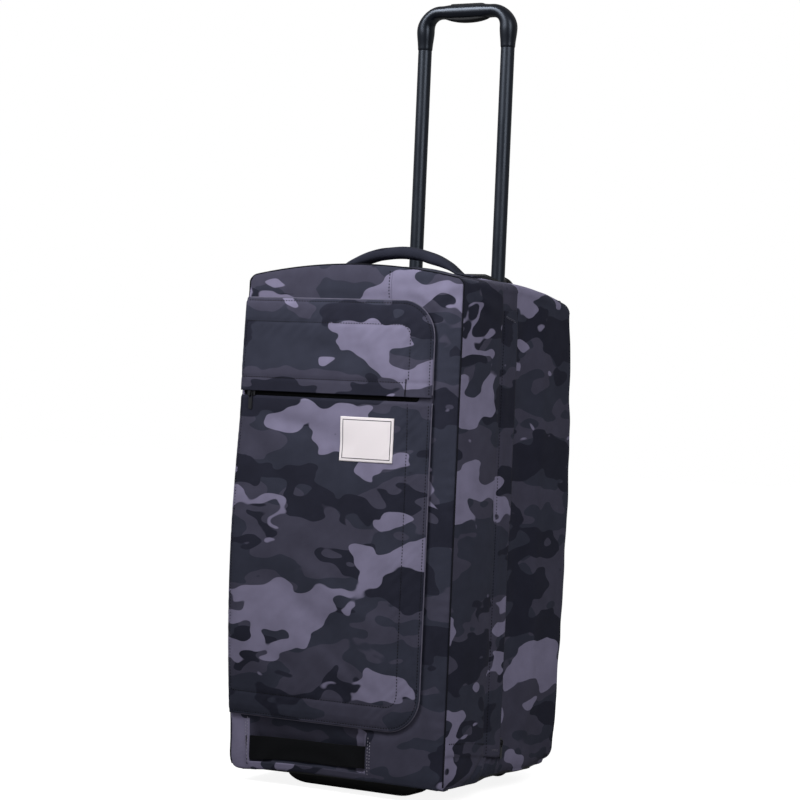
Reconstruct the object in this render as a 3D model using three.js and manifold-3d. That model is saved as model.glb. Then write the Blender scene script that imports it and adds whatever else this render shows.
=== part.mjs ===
// A rolling duffel bag that stands upright: fabric body on a moulded base with two wheels and a front foot,
// a telescoping handle behind a frame sheet, two side zips under storm flaps and a raised front pocket.
// Millimetres, +Z up, front towards -Y, origin on the ground under the middle of the outline.
import * as THREE from "three";
import { mergeVertices } from "three/addons/utils/BufferGeometryUtils.js";
import Module from "manifold-3d";

const wasm = await Module();
wasm.setup();

// Body of the bag, measured over the fabric
const bodyWidth = 340;
const bodyDepth = 325;
const bodyHeight = 674;
const groundClearance = 28;
const fabric = 3; // padded fabric with its lining
const lightFabric = 1.8; // unpadded fabric of flaps and folds
const seamGap = 0.3; // between pieces that are sewn or screwed together
const topSeam = 0.6; // between the top panel and the walls under it
const topCrown = 18;
const shoulderRadius = 12;
const rearCornerRadius = 14;
const rearSagCentre = 8;
const rearSagEdge = 20;
const sagStartShare = 0.5; // of the depth
const sideBow = 6; // how far the middle of a side stands out
const ridgeInset = 24; // ridge of the front gusset before the seam of the flap
const bandBulge = 5; // at the ridge
const creaseDepth = 3; // where the flap is sewn on
const rearBulge = 2;

// Piping of the front edge
const pipingRadius = 2.3;

// Side zips and their storm flaps
const zipInset = 159; // from the back of the bag
const zipRecess = 4.2; // how far the side draws in at the zip
const zipLow = 44;
const zipHigh = 668;
const flapWidth = 43;
const flapStandback = 5; // free edge of the flap before the zip line
const flapLow = 52;
const flapHigh = 656;

// Zip chain and sliders, the same on every zip
const tapeWidth = 30;
const tapeThickness = 1;
const coilWidth = 5.6;
const coilHeight = 2.2;
const chainSlit = 1.4;
const chainEnd = 4; // stop at each end, where the two tapes are joined
const plateWidth = 7;
const plateLength = 12;
const plateThickness = 1.8;
const plateLift = 0.4; // running clearance of the slider on the chain
const neckThickness = 0.8;
const neckLength = 4;
const bailSpan = 3.6; // length of the opening under the bail
const bailWire = 1.5;
const bailRise = 2.6; // opening of the bail above the plate
const pullLength = 23;
const pullWidth = 5.6;
const pullThickness = 1.3;
const pullEyeWidth = 3.2;
const pullEyeLength = 6;
const pullBar = 1.3;
const edgeClearance = 0.8; // cloth edge to slider

// Front pocket
const pocketInsetLeft = 4; // from the bag's left side
const pocketInsetRight = 39; // from the bag's right side
const pocketLow = 94;
const pocketHigh = 672;
const pocketCorner = 50;
const pocketSeamCorner = 10;
const pocketRise = 13;
const pocketWall = 2.5;
const yokeStep = 2; // the upper part is doubled and stands prouder
const yokeEdge = 543; // lower edge of the flap that covers the pocket zip
const pocketEdgeWidth = 50; // from the pocket's edge to its full rise
const seamSideShare = 0.2; // the side at the left seam rises more steeply
const pocketCornerSteps = 4;
const pocketZipInsetLeft = 5;
const pocketZipInsetRight = 13;
const pocketTapeFace = 8.5; // front of the pocket's zip tape before the front panel
const labelWidth = 83;
const labelHeight = 60;
const labelThickness = 0.9;
const labelInset = 52; // from the pocket's right edge
const labelDrop = 90; // from the free edge of the pocket's upper part to the label's low edge
const labelCorner = 1.5;

// Grab strap across the bottom of the front
const recessInsetLeft = 33; // from the bag's left side
const recessInsetRight = 119; // from the bag's right side
const recessLow = 34;
const recessHigh = 104;
const recessDepth = 17;
const recessHem = 12; // how far the recess panel reaches behind the front
const strapWidth = 30;
const strapThickness = 2.2;
const strapLow = 38;
const strapHem = 10;
const strapBow = 2.4; // forward bow of the strap between its ends

// Carry handle on the top
const handleSetback = 123;
const handleReach = 122;
const handleFoot = 97; // half of the span where the arch leaves the top
const handleRise = 21.2; // lift of the arch above the top, at its middle
const handleHalfWidth = 13;
const handleHalfHeight = 8.5;
const handleEndHalf = 1.8;
const handleStandoff = 0.5;

// Moulded base tray and front foot
const trayInset = 1.5; // lip of the tray inside the fabric outline
const trayFloor = 4;
const trayWall = 2.5;
const trayRise = 36;
const trayFrontCorner = 12;
const trayRearCorner = 36;
const footWidth = 216;
const footDepth = 30;
const footSetback = 50;
const footEndRadius = 17;
const footBevel = 2;
const footScrewPitch = 150;

// Wheels and their housings
const wheelRadius = 35;
const wheelWidth = 24;
const wheelSideInset = 74; // middle of the wheel from the bag's side
const wheelBackInset = 28; // axle from the bag's back
const treadThickness = 7;
const treadRound = 5;
const hubBore = 8;
const hubWall = 3;
const webThickness = 5;
const spokeHoles = 5;
const spokeHoleRadius = 4.5;
const bearingWidth = 6;
const bearingFit = 0.2;
const spacerWall = 1.2; // sleeve between the two bearings of a wheel
const axleRadius = 4;
const axleClearance = 0.1;
const axleHead = 2;
const axleHeadRadius = 6.5;
const housingWall = 6;
const wheelSideClearance = 2;
const wheelArchClearance = 4;

// Back of the bag
const kickHeight = 114;
const kickThickness = 3.5;
const railWidth = 16;
const railRise = 5.5;
const railInset = 65; // middle of a rail from the side of the bag
const railHigh = 600;
const railBevel = 1.5;
const sheetThickness = 2.5;
const sheetMargin = 20;
const sheetTopMargin = 22;

// Telescoping handle
const tubeSpacing = 137;
const tubeBackInset = 37.4; // tube axes from the back of the bag
const tubeRadius = 10;
const tubeWall = 1.5;
const outerTubeRadius = 13;
const outerTubeWall = 1.4;
const slideGap = 0.2; // between a tube and what guides it
const jointHeight = 1053; // top of the inner tubes when drawn out
const tubeOverlap = 85; // inner tube left inside the outer one when drawn out
const handleTravel = 400;
const bushDepth = 20;
const bushFlange = 2;
const glideCollar = 20;
const glidePlug = 28;
const bracketHeight = 36;
const bracketHalfWidth = 100;
const bracketDepth = 44;
const bracketCorner = 8;
const bracketFloor = 12;

// Cup in the top that takes the grip
const cupWidth = 204;
const cupDepth = 62;
const cupCorner = 28;
const cupWall = 7;
const cupFloor = 5;
const cupBase = 640;
const cupRim = 725;
const cupRimDrop = 18;

// Grip
const gripHeight = 54.5; // joint to the axis of the bar
const gripBend = 26;
const gripLegHalf = 12.5;
const gripBarHalfHeight = 9.5;
const gripBarHalfDepth = 13;
const spigotRadius = 8.2;
const spigotLength = 25;
const bellyHalfLength = 36;
const bellyDrop = 6;
const bellyDepth = 7; // half depth of the insert in the bar
const bellyInset = 3;
const buttonHalfLength = 22;
const buttonHalfWidth = 6;
const buttonRise = 4;
const buttonTravel = 4;
const buttonGap = 0.4;
const linkThickness = 2.5;
const linkHalfWidth = 4;
const linkGap = 0.5;
const rodRadius = 2;
const rodOffset = 5; // rods run nearer the middle than the tube axis
const pinRadius = 3;
const pinLength = 7.5;

// Facets
const roundSides = 20;
const smallSides = 12;
const cornerSteps = 3; // an arc of an outline has twice as many
const rearCornerSteps = 4;
const shoulderSteps = 3;
const sideRows = 8;
const overrun = 1; // how far a cutting solid passes the faces it cuts

// Places that follow from the sizes above; a setback is measured from the front face
const halfWidth = bodyWidth / 2;
const shoulderHeight = groundClearance + bodyHeight;
const zipLine = bodyDepth - zipInset;
const flapEdge = zipLine - flapStandback;
const flapSeam = flapEdge - flapWidth;
const bandWidth = flapSeam - ridgeInset;
const pocketLeft = pocketInsetLeft - halfWidth;
const pocketRight = halfWidth - pocketInsetRight;
const labelLeft = pocketRight - labelInset - labelWidth;
const labelLow = yokeEdge - labelDrop;
const recessLeft = recessInsetLeft - halfWidth;
const recessRight = halfWidth - recessInsetRight;
const wheelOffset = halfWidth - wheelSideInset;
const wheelSetback = bodyDepth - wheelBackInset;
const railOffset = halfWidth - railInset;
const tubeX = tubeSpacing / 2;
const tubeSetback = bodyDepth - tubeBackInset;
const innerTubeLow = cupBase - tubeOverlap;
const pinHeight = innerTubeLow - glideCollar / 2;
const gripAxis = jointHeight + gripHeight;
const rodX = tubeX - rodOffset;
const rodLow = pinHeight + 2 * pinRadius;
const linkLow = gripAxis - linkThickness;
const halfTurn = Math.PI;
const quarterTurn = Math.PI / 2;

// Colours of the finishes
function finish(color, roughness, metalness = 0) {
  return new THREE.MeshStandardMaterial({ color, roughness, metalness });
}

const materials = {
  camouflage: finish("#3d3d4a", 0.9),
  lining: finish("#26272c", 0.9),
  webbing: finish("#141518", 0.85),
  piping: finish("#16171c", 0.8),
  zipTape: finish("#17181d", 0.85),
  label: finish("#d9d0d4", 0.8),
  moulding: finish("#121316", 0.6),
  gripPlastic: finish("#1a1b1f", 0.5),
  softGrip: finish("#151619", 0.85),
  tube: finish("#1d1d20", 0.35, 0.9),
  innerMetal: finish("#5b5c60", 0.4, 0.9),
  steel: finish("#8a8c90", 0.35, 1),
  gunmetal: finish("#4b4c50", 0.35, 0.9),
  tread: finish("#1b1b1d", 0.75),
  hub: finish("#2b2c30", 0.55),
};

const bag = new THREE.Group();

function add(name, geometry, material) {
  const mesh = new THREE.Mesh(geometry, materials[material]);
  mesh.name = name;
  bag.add(mesh);
  return mesh;
}

// The same piece on the right and, mirrored, on the left
function addPair(name, geometry, material) {
  add(name + "_right", geometry, material);
  add(name + "_left", geometry, material).scale.x = -1;
}

// Solids that join and cut
function solid(geometry) {
  const bare = geometry.index ? geometry.toNonIndexed() : geometry.clone();
  bare.deleteAttribute("normal");
  bare.deleteAttribute("uv");
  const merged = mergeVertices(bare);
  return new wasm.Manifold(
    new wasm.Mesh({
      numProp: 3,
      vertProperties: merged.attributes.position.array,
      triVerts: new Uint32Array(merged.index.array),
    }),
  );
}

function surface(body) {
  const mesh = body.getMesh();
  const geometry = new THREE.BufferGeometry();
  geometry.setAttribute("position", new THREE.BufferAttribute(mesh.vertProperties, mesh.numProp));
  geometry.setIndex(new THREE.BufferAttribute(mesh.triVerts, 1));
  const flat = geometry.toNonIndexed();
  flat.computeVertexNormals();
  return flat;
}

function cut(geometry, ...tools) {
  return surface(tools.reduce((body, tool) => body.subtract(solid(tool)), solid(geometry)));
}

function join(geometry, ...others) {
  return surface(others.reduce((body, other) => body.add(solid(other)), solid(geometry)));
}

function keep(geometry, region) {
  return surface(solid(geometry).intersect(solid(region)));
}

// A block between two corners
function block(low, high) {
  const size = high.map((value, axis) => value - low[axis]);
  const middle = high.map((value, axis) => (value + low[axis]) / 2);
  return new THREE.BoxGeometry(...size).translate(...middle);
}

// A round bar along x, y or z from start to end, centred on the other two coordinates in their order
function bar(axis, radius, start, end, first, second, sides = roundSides) {
  const geometry = new THREE.CylinderGeometry(radius, radius, end - start, sides);
  const middle = (start + end) / 2;
  if (axis === "x") return geometry.rotateZ(quarterTurn).translate(middle, first, second);
  if (axis === "y") return geometry.translate(first, middle, second);
  return geometry.rotateX(quarterTurn).translate(first, second, middle);
}

// A rectangle whose corners have radii in the order low-right, high-right, high-left, low-left
function roundedOutline(left, low, right, high, radii) {
  const [r1, r2, r3, r4] = Array.isArray(radii) ? radii : [radii, radii, radii, radii];
  const outline = new THREE.Shape();
  outline.absarc(right - r1, low + r1, r1, -quarterTurn, 0);
  outline.absarc(right - r2, high - r2, r2, 0, quarterTurn);
  outline.absarc(left + r3, high - r3, r3, quarterTurn, halfTurn);
  outline.absarc(left + r4, low + r4, r4, halfTurn, halfTurn + quarterTurn);
  return outline;
}

// An outline in the x-y plane carried upwards from low to high
function standing(outline, low, high) {
  return new THREE.ExtrudeGeometry(outline, {
    depth: high - low,
    bevelEnabled: false,
    curveSegments: cornerSteps,
  }).translate(0, 0, low);
}

// An outline in the x-z plane carried from the y of its front to the y of its back, with bevelled edges
function facing(outline, front, back, bevel = 0) {
  return new THREE.ExtrudeGeometry(outline, {
    depth: back - front - 2 * bevel,
    bevelEnabled: bevel > 0,
    bevelThickness: bevel,
    bevelSize: bevel,
    bevelOffset: -bevel,
    bevelSegments: 1,
    curveSegments: cornerSteps,
  })
    .rotateX(quarterTurn)
    .translate(0, back - bevel, 0);
}

// An outline in the y-z plane carried sideways from left to right
function sideways(outline, left, right) {
  return new THREE.ExtrudeGeometry(outline, {
    depth: right - left,
    bevelEnabled: false,
    curveSegments: cornerSteps,
  })
    .rotateY(quarterTurn)
    .rotateX(quarterTurn)
    .translate(left, 0, 0);
}

// A closed skin between two grids of points with the same rows and columns. Seen from outside, the columns of
// the outer grid run to the right and its rows upwards
function skin(outer, inner) {
  const rows = outer.length;
  const columns = outer[0].length;
  const index = [];
  const outside = (row, column) => row * columns + column;
  const inside = (row, column) => rows * columns + outside(row, column);
  const quad = (a, b, c, d) => index.push(a, b, c, a, c, d);
  for (let row = 0; row < rows - 1; row++) {
    const up = row + 1;
    for (let column = 0; column < columns - 1; column++) {
      const right = column + 1;
      quad(outside(row, column), outside(row, right), outside(up, right), outside(up, column));
      quad(inside(row, column), inside(up, column), inside(up, right), inside(row, right));
    }
  }
  const top = rows - 1;
  for (let column = 0; column < columns - 1; column++) {
    const right = column + 1;
    quad(outside(0, column), inside(0, column), inside(0, right), outside(0, right));
    quad(outside(top, right), inside(top, right), inside(top, column), outside(top, column));
  }
  const end = columns - 1;
  for (let row = 0; row < rows - 1; row++) {
    const up = row + 1;
    quad(outside(up, 0), inside(up, 0), inside(row, 0), outside(row, 0));
    quad(outside(row, end), inside(row, end), inside(up, end), outside(up, end));
  }
  return meshOf([...outer.flat(), ...inner.flat()], index);
}

function meshOf(points, index) {
  const geometry = new THREE.BufferGeometry().setFromPoints(points);
  geometry.setIndex(index);
  geometry.computeVertexNormals();
  return geometry;
}

// Rings of equally many points, joined in order and closed flat at both ends
function loft(rings) {
  const count = rings[0].length;
  const index = [];
  for (let ring = 0; ring < rings.length - 1; ring++) {
    for (let i = 0; i < count; i++) {
      const next = (i + 1) % count;
      const [a, b] = [ring * count + i, ring * count + next];
      index.push(a, b, b + count, a, b + count, a + count);
    }
  }
  const last = (rings.length - 1) * count;
  for (let i = 1; i < count - 1; i++) {
    index.push(0, i + 1, i);
    index.push(last, last + i, last + i + 1);
  }
  return meshOf(rings.flat(), index);
}

const mix = (from, to, share) => from + (to - from) * share;
const ease = (share) => share * share * (3 - 2 * share);

// How far out equal steps of a quarter arc reach, from its start
function roundPlaces(steps, radius) {
  return Array.from({ length: steps }, (_, i) => radius * Math.sin((quarterTurn * (i + 1)) / steps));
}

// A smooth curve through pairs of place and value
function through(pairs, place) {
  const next = pairs.findIndex((pair) => pair[0] >= place);
  if (next === 0) return pairs[0][1];
  if (next < 0) return pairs[pairs.length - 1][1];
  const [low, high] = [pairs[next - 1], pairs[next]];
  return mix(low[1], high[1], ease((place - low[0]) / (high[0] - low[0])));
}

// Half of the body's width at a distance behind the front face
const cornerStart = bodyDepth - rearCornerRadius;
const zipZone = tapeWidth / 2;
const ridgeShare = 0.8; // of the ridge, half way to it
const sideOffsets = [
  [0, 0],
  [bandWidth / 2, bandBulge * ridgeShare],
  [bandWidth, bandBulge],
  [flapSeam, -creaseDepth],
  [zipLine - zipZone, -zipRecess],
  [zipLine + zipZone, -zipRecess],
  [(zipLine + cornerStart) / 2, rearBulge],
  [cornerStart, 0],
];

function halfWidthAt(y) {
  if (y <= cornerStart) return halfWidth + through(sideOffsets, y);
  const past = Math.min(y - cornerStart, rearCornerRadius);
  return halfWidth - rearCornerRadius + Math.sqrt(rearCornerRadius ** 2 - past ** 2);
}

// Shares of the sideways bow along the depth: none at the zip, which has to stay straight
const bowShares = [
  [0, 0],
  [bandWidth / 2, 0.4],
  [bandWidth, 0.5],
  [flapSeam, 0],
  [zipLine + zipZone, 0],
  [(zipLine + cornerStart) / 2, 0.8],
  [cornerStart, 1],
  [bodyDepth, 0],
];

function bow(y, z) {
  const share = Math.min(Math.max((z - groundClearance) / bodyHeight, 0), 1);
  return sideBow * Math.sin(halfTurn * share) * through(bowShares, y);
}

// Height of the top: crowned across, rounded at the shoulders and sagging towards the back
function topHeight(x, y) {
  const across = (x / halfWidth) ** 2;
  const back = Math.max(0, (y / bodyDepth - sagStartShare) / (1 - sagStartShare));
  const sag = back ** 1.5 * mix(rearSagCentre, rearSagEdge, across);
  const past = Math.min(Math.max(0, Math.abs(x) - (halfWidthAt(y) - shoulderRadius)), shoulderRadius);
  const drop = shoulderRadius - Math.sqrt(shoulderRadius ** 2 - past ** 2);
  return shoulderHeight + topCrown * (1 - across) - sag - drop;
}

// A wall panel of the right side. Places are distances behind the front, and offset moves the panel off the
// surface of the body
function wallPanel({ places, low, high, thickness, offset = 0 }) {
  const rows = sideRows;
  const step = rearCornerRadius / 1000;
  const path = places.map((y) => {
    const here = new THREE.Vector2(halfWidthAt(y), y);
    const before = Math.max(0, y - step);
    const after = Math.min(bodyDepth, y + step);
    const run = new THREE.Vector2(halfWidthAt(after) - halfWidthAt(before), after - before).normalize();
    return { here, out: new THREE.Vector2(run.y, -run.x) };
  });
  const grid = (inward) =>
    Array.from({ length: rows + 1 }, (_, row) =>
      path.map(({ here, out }) => {
        const z = mix(low, high(here.y), row / rows) - (row === rows ? inward : 0);
        const reach = offset + bow(here.y, z) - inward;
        return new THREE.Vector3(here.x + out.x * reach, here.y + out.y * reach, z);
      }),
    );
  return skin(grid(0), grid(thickness));
}

// Top edge of a side panel, lowered round the rear corner where it passes under the back of the top
function wallTop(y) {
  const corner = Math.max(0, (y - cornerStart) / rearCornerRadius);
  return topHeight(halfWidthAt(y), y) - topSeam - fabric * corner;
}

// Height just under the top panel, whose inner face is drawn in by its thickness
function underTop(x, y) {
  const half = halfWidthAt(y);
  const above = Math.min((Math.abs(x) * half) / (half - fabric), half);
  return topHeight(above, y) - fabric - topSeam;
}

const wallLow = groundClearance + seamGap;

// Places along the depth where the side panels and the top panel are divided
const gussetEnd = flapEdge - plateWidth / 2;
const gussetPlaces = [
  fabric + 2 * seamGap,
  bandWidth / 4,
  bandWidth / 2,
  (bandWidth * 3) / 4,
  bandWidth,
  flapSeam,
  gussetEnd,
];
const rearStart = zipLine + plateWidth / 2 + edgeClearance;
const rearMiddle = (zipLine + cornerStart) / 2;
const rearPlaces = [
  rearStart,
  mix(rearStart, rearMiddle, 1 / 2),
  rearMiddle,
  mix(rearMiddle, cornerStart, 1 / 2),
  cornerStart,
  ...roundPlaces(rearCornerSteps, rearCornerRadius).map((run) => cornerStart + run),
];

function gussets() {
  const panel = wallPanel({ places: gussetPlaces, low: wallLow, high: wallTop, thickness: fabric });
  addPair("front_gusset", panel, "camouflage");
}

function stormFlaps() {
  const places = [0, 1 / 3, 2 / 3, 1].map((share) => mix(flapSeam, flapEdge, share));
  const offset = lightFabric + seamGap;
  const flap = wallPanel({ places, low: flapLow, high: () => flapHigh, thickness: lightFabric, offset });
  addPair("storm_flap", flap, "camouflage");
}

function rearSides() {
  const panel = wallPanel({ places: rearPlaces, low: wallLow, high: wallTop, thickness: fabric });
  addPair("rear_side", panel, "camouflage");
}

const crownShares = [-1, -0.65, -0.3, 0, 0.3, 0.65, 1];

// Places across the top at a given half width: even over the crown, closer over the shoulders
function acrossPlaces(half) {
  const flat = half - shoulderRadius;
  const rounding = roundPlaces(shoulderSteps, shoulderRadius).map((run) => flat + run);
  const left = rounding.map((x) => -x).reverse();
  return [...left, ...crownShares.map((share) => share * flat), ...rounding];
}

function topPanel() {
  const grid = (inward) =>
    [0, ...gussetPlaces, ...rearPlaces].map((y) => {
      const half = halfWidthAt(y);
      const shrink = (half - inward) / half;
      return acrossPlaces(half).map((x) => new THREE.Vector3(x * shrink, y, topHeight(x, y) - inward));
    });
  const opening = standing(cupOutline(seamGap), cupBase, cupRim + topCrown);
  add("top_panel", cut(skin(grid(0), grid(fabric)), opening), "camouflage");
}

function frontPanel() {
  const edge = halfWidth - pipingRadius * 1.5 - seamGap;
  const inner = acrossPlaces(halfWidth).map((x) => (x * (halfWidth - fabric)) / halfWidth);
  const across = inner.filter((x) => Math.abs(x) < edge);
  const heights = [() => wallLow, (x) => underTop(x, 0)];
  const grid = (y) => heights.map((height) => across.map((x) => new THREE.Vector3(x, y, height(x))));
  const window = block(
    [recessLeft, -overrun, recessLow],
    [recessRight, fabric + overrun, recessHigh - strapHem],
  );
  add("front_panel", cut(skin(grid(0), grid(fabric)), window), "camouflage");
}

function frontPiping() {
  const x = halfWidth - pipingRadius / 2;
  const y = pipingRadius / 2;
  const high = wallTop(0) - shoulderRadius / 2;
  const path = new THREE.LineCurve3(new THREE.Vector3(x, y, wallLow), new THREE.Vector3(x, y, high));
  const section = new THREE.Shape().absarc(0, 0, pipingRadius, 0, 2 * halfTurn);
  const geometry = new THREE.ExtrudeGeometry(section, {
    extrudePath: path,
    steps: 1,
    curveSegments: smallSides / 2,
  });
  addPair("front_piping", geometry, "piping");
}

function backPanel() {
  const edge = halfWidth - rearCornerRadius - seamGap;
  const half = halfWidthAt(bodyDepth);
  const inner = acrossPlaces(half).map((x) => (x * (half - fabric)) / half);
  const across = [-edge, ...inner, edge].reverse();
  const heights = [() => kickHeight + seamGap, (x) => underTop(x, bodyDepth)];
  const grid = (y) => heights.map((height) => across.map((x) => new THREE.Vector3(x, y, height(x))));
  add("back_panel", skin(grid(bodyDepth), grid(bodyDepth - fabric)), "camouflage");
}

// The stiff board between the main compartment and the telescoping handle
function frameSheet() {
  const half = halfWidth - sheetMargin;
  const low = housingTop + seamGap;
  const outline = roundedOutline(-half, low, half, shoulderHeight - sheetTopMargin, sheetMargin);
  const back = tubeSetback - cupDepth / 2 - seamGap;
  add("frame_sheet", facing(outline, back - sheetThickness, back), "lining");
}

// A zip chain along z in its own frame: tape in the plane of y and z, coil towards +x, joined at both ends
function zipChain(low, high) {
  const halfTape = tapeWidth / 2;
  const halfCoil = coilWidth / 2;
  const tape = block([-tapeThickness, -halfTape, low], [0, halfTape, high]);
  const coil = block([-tapeThickness / 2, -halfCoil, low], [coilHeight, halfCoil, high]);
  const halfSlit = chainSlit / 2;
  const slit = block(
    [-tapeThickness - overrun, -halfSlit, low + chainEnd],
    [coilHeight + overrun, halfSlit, high - chainEnd],
  );
  return cut(join(tape, coil), slit);
}

const upperPlateLow = coilHeight + plateLift;
const upperPlateHigh = upperPlateLow + plateThickness;
const lowerPlateHigh = -tapeThickness - plateLift;
const lowerPlateLow = lowerPlateHigh - plateThickness;
const pullAxis = upperPlateHigh + bailRise / 2;

// Slider plates round the chain, in the chain's frame and centred on z = 0, joined by a neck through the slit.
// The plates are longer along the chain, which runs along z or y
function sliderBody(run) {
  const halfLong = plateLength / 2;
  const halfShort = plateWidth / 2;
  const [halfY, halfZ] = run === "z" ? [halfShort, halfLong] : [halfLong, halfShort];
  const halfNeck = [neckThickness / 2, neckLength / 2];
  const [neckY, neckZ] = run === "z" ? halfNeck : [...halfNeck].reverse();
  const upper = block([upperPlateLow, -halfY, -halfZ], [upperPlateHigh, halfY, halfZ]);
  const lower = block([lowerPlateLow, -halfY, -halfZ], [lowerPlateHigh, halfY, halfZ]);
  const neck = block([lowerPlateLow, -neckY, -neckZ], [upperPlateHigh, neckY, neckZ]);
  const halfSpan = bailSpan / 2;
  const bailTop = upperPlateHigh + bailRise;
  const halfWire = bailWire / 2;
  const loop = block(
    [upperPlateHigh - halfWire, -halfWire, -halfSpan - bailWire],
    [bailTop + bailWire, halfWire, halfSpan + bailWire],
  );
  const bail = cut(loop, block([upperPlateHigh, -bailWire, -halfSpan], [bailTop, bailWire, halfSpan]));
  return join(upper, lower, neck, bail);
}

// A pull that hangs from its bar under the bail, in the chain's frame. Its bar runs along y, at z = 0
function pullTab() {
  const halfBar = pullBar / 2;
  const halfThick = pullThickness / 2;
  const low = halfBar - pullLength;
  const half = pullWidth / 2;
  const round = pullWidth / 3;
  const outline = roundedOutline(-half, low, half, halfBar, [round, halfBar, halfBar, round]);
  const eyeLow = -halfBar - pullEyeLength;
  const eye = block(
    [-pullEyeWidth / 2, -halfThick - overrun, eyeLow],
    [pullEyeWidth / 2, halfThick + overrun, -halfBar],
  );
  return cut(facing(outline, -halfThick, halfThick), eye).rotateZ(-quarterTurn).translate(pullAxis, 0, 0);
}

function sideZips() {
  const tapeFace = halfWidth - zipRecess - fabric - seamGap;
  const place = (geometry, z) => geometry.translate(tapeFace, zipLine, z);
  const rest = groundClearance + trayRise + plateLength / 2 + edgeClearance;
  addPair("side_zip", place(zipChain(zipLow, zipHigh), 0), "zipTape");
  addPair("side_slider", place(sliderBody("z"), rest), "gunmetal");
  addPair("side_pull", place(pullTab(), rest), "gunmetal");
}

// Rise of the pocket's face against the distance from its edge, as shares of the full rise
const pocketProfileShares = [
  [0, 0],
  [0.012, 0.35],
  [0.04, 0.62],
  [0.1, 0.81],
  [0.24, 0.9],
  [1, 1],
];

// A dished shell, open at the back, over an outline that shrinks as it rises
function pocketShell(rise) {
  const ring = (inset, wall, height) => {
    const seam = Math.max(pocketSeamCorner - inset, seamGap);
    const free = Math.max(pocketCorner - inset, seamGap);
    const [left, right] = [pocketLeft + wall + inset * seamSideShare, pocketRight - inset];
    const [low, high] = [pocketLow + inset, pocketHigh - inset];
    const corners = [
      [right - free, low + free, free],
      [right - free, high - free, free],
      [left + seam, high - seam, seam],
      [left + seam, low + seam, seam],
    ];
    return corners.flatMap(([x, z, radius], corner) =>
      Array.from({ length: pocketCornerSteps + 1 }, (_, i) => {
        const angle = quarterTurn * (corner - 1 + i / pocketCornerSteps);
        return new THREE.Vector3(x + radius * Math.cos(angle), -height, z + radius * Math.sin(angle));
      }),
    );
  };
  const rings = (wall) =>
    pocketProfileShares.map(([across, up]) =>
      ring(wall + across * pocketEdgeWidth, wall, seamGap + up * (rise - seamGap) - wall),
    );
  const outer = loft(rings(0));
  const hollow = loft(rings(pocketWall));
  return cut(outer, hollow);
}

const pocketZipLine = yokeEdge - plateWidth / 2 - seamGap;

function pocket() {
  const beyond = bodyWidth;
  const zipEdge = pocketZipLine - plateWidth / 2 - edgeClearance;
  const below = block([-beyond, -beyond, 0], [beyond, beyond, zipEdge]);
  const above = block([-beyond, -beyond, yokeEdge], [beyond, beyond, shoulderHeight]);
  add("pocket_panel", keep(pocketShell(pocketRise), below), "camouflage");
  add("pocket_yoke", keep(pocketShell(pocketRise + yokeStep), above), "camouflage");
  const turn = (geometry, x) => geometry.rotateZ(-quarterTurn).translate(x, -pocketTapeFace, pocketZipLine);
  const left = pocketLeft + pocketZipInsetLeft;
  const right = pocketRight - pocketZipInsetRight;
  const chain = zipChain(left, right).rotateX(-quarterTurn);
  const rest = left + chainEnd + plateLength / 2;
  add("pocket_zip", turn(chain, 0), "zipTape");
  add("pocket_slider", turn(sliderBody("y"), rest), "gunmetal");
  add("pocket_pull", turn(pullTab(), rest), "gunmetal");
}

function label() {
  const [right, high] = [labelLeft + labelWidth, labelLow + labelHeight];
  const outline = roundedOutline(labelLeft, labelLow, right, high, labelCorner);
  const back = -pocketRise - seamGap;
  add("label_patch", facing(outline, back - labelThickness, back), "label");
}

// The panel behind the grab strap, hollowed so that fingers pass behind the strap
function grabRecess() {
  const columns = 14;
  const rows = 8;
  const [left, right] = [recessLeft - recessHem, recessRight + recessHem];
  const [low, high] = [recessLow, recessHigh];
  const face = fabric + strapThickness + 3 * seamGap;
  const dish = (share) => 1 - Math.abs(2 * share - 1) ** 4;
  const grid = (inward) =>
    Array.from({ length: rows + 1 }, (_, row) =>
      Array.from({ length: columns + 1 }, (_, column) => {
        const [u, v] = [column / columns, row / rows];
        const y = face + recessDepth * dish(u) * dish(v) + inward;
        return new THREE.Vector3(mix(left, right, u), y, mix(low, high, v));
      }),
    );
  add("grab_recess", skin(grid(0), grid(lightFabric)), "camouflage");
}

// Webbing across the recess, its ends held between the front panel and the recess panel
function grabStrap() {
  const columns = 12;
  const [left, right] = [recessLeft - strapHem, recessRight + strapHem];
  const ends = fabric + seamGap;
  const grid = (inward) =>
    [strapLow, strapLow + strapWidth].map((z) =>
      Array.from({ length: columns + 1 }, (_, column) => {
        const x = mix(left, right, column / columns);
        const share = Math.min(Math.max((x - recessLeft) / (recessRight - recessLeft), 0), 1);
        return new THREE.Vector3(x, ends - strapBow * Math.sin(halfTurn * share) + inward, z);
      }),
    );
  add("grab_strap", skin(grid(0), grid(strapThickness)), "webbing");
}

// An oval ring in the plane through a point of a path in x and z, for lofts along that path
function ovalRing(x, y, z, direction, across, deep, sides) {
  const normal = new THREE.Vector2(direction.y, -direction.x).normalize();
  return Array.from({ length: sides }, (_, i) => {
    const angle = (2 * halfTurn * i) / sides;
    const [along, back] = [across * Math.cos(angle), deep * Math.sin(angle)];
    return new THREE.Vector3(x + normal.x * along, y + back, z + normal.y * along);
  });
}

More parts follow.
